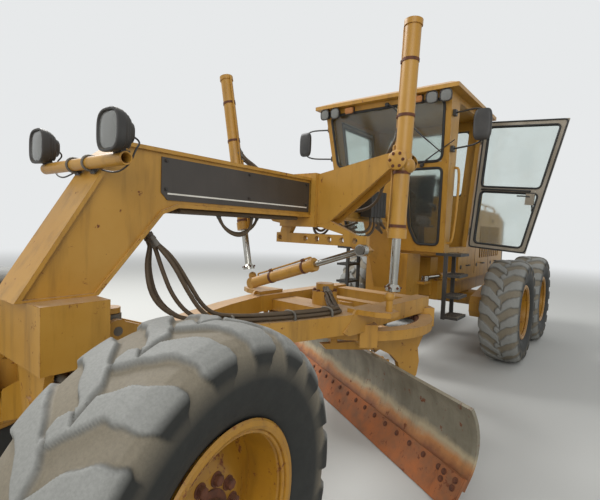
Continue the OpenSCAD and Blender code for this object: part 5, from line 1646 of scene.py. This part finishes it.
# plain pale floor that fades into a pale sky, and soft lamps
stageLook = {
    "floorSize": 80,
    "floorColour": "#BFBFBB",
    "backColour": "#E7E9EA",
    "fadeFrom": 9.0,
    "fadeTo": 24.0,
    "skyStrength": 0.78,
    "lamps": [("keyLamp", (1.5, -6.5, 9.0), 4, 960), ("fillLamp", (9.0, 5.0, 5.0), 6, 360)],
}


def seenShare(tree):
    # 1 for rays that come from the eye, straight, off metal or through glass
    path = addNode(tree, "ShaderNodeLightPath").outputs
    glossOrGlass = combine(tree, "MAXIMUM", path["Is Glossy Ray"], path["Is Transmission Ray"])
    return combine(tree, "MAXIMUM", path["Is Camera Ray"], glossOrGlass)


def makeStage(look):
    mesh = bpy.data.meshes.new("floor")
    s = look["floorSize"]
    mesh.from_pydata([(-s, -s, 0), (s, -s, 0), (s, s, 0), (-s, s, 0)], [], [(0, 1, 2, 3)])
    floor = bpy.data.objects.new("floor", mesh)
    scene.collection.objects.link(floor)
    material, tree, shader = startMaterial("paleFloor")
    shader.inputs["Base Color"].default_value = linearColour(look["floorColour"])
    shader.inputs["Roughness"].default_value = 0.9
    at = addNode(tree, "ShaderNodeTexCoord").outputs["Object"]
    away = addNode(tree, "ShaderNodeVectorMath", {0: at}, operation="LENGTH").outputs["Value"]
    fading = {"Value": away, "From Min": look["fadeFrom"], "From Max": look["fadeTo"]}
    far = addNode(tree, "ShaderNodeMapRange", fading, interpolation_type="SMOOTHSTEP")
    glow = addNode(tree, "ShaderNodeEmission", {"Color": linearColour(look["backColour"])})
    share = combine(tree, "MULTIPLY", far.outputs[0], seenShare(tree))
    both = addNode(tree, "ShaderNodeMixShader", {0: share, 1: shader.outputs[0], 2: glow.outputs[0]})
    output = next(node for node in tree.nodes if node.type == "OUTPUT_MATERIAL")
    tree.links.new(both.outputs[0], output.inputs["Surface"])
    mesh.materials.append(material)
    world = bpy.data.worlds.new("paleSky")
    scene.world = world
    world.use_nodes = True
    background = world.node_tree.nodes["Background"]
    background.inputs["Color"].default_value = linearColour(look["backColour"])
    strength = addNode(world.node_tree, "ShaderNodeMapRange", {
        "Value": seenShare(world.node_tree), "To Min": look["skyStrength"], "To Max": 1.0})
    world.node_tree.links.new(strength.outputs[0], background.inputs["Strength"])
    for name, place, size, power in look["lamps"]:
        light = bpy.data.lights.new(name, "AREA")
        light.size = size
        light.energy = power
        lamp = bpy.data.objects.new(name, light)
        scene.collection.objects.link(lamp)
        lamp.location = place
        lamp.rotation_euler = (Vector((0.8, 0, 1)) - Vector(place)).to_track_quat("-Z", "Y").to_euler()


makeStage(stageLook)
scene.view_settings.view_transform = "Standard"
print("stage set")
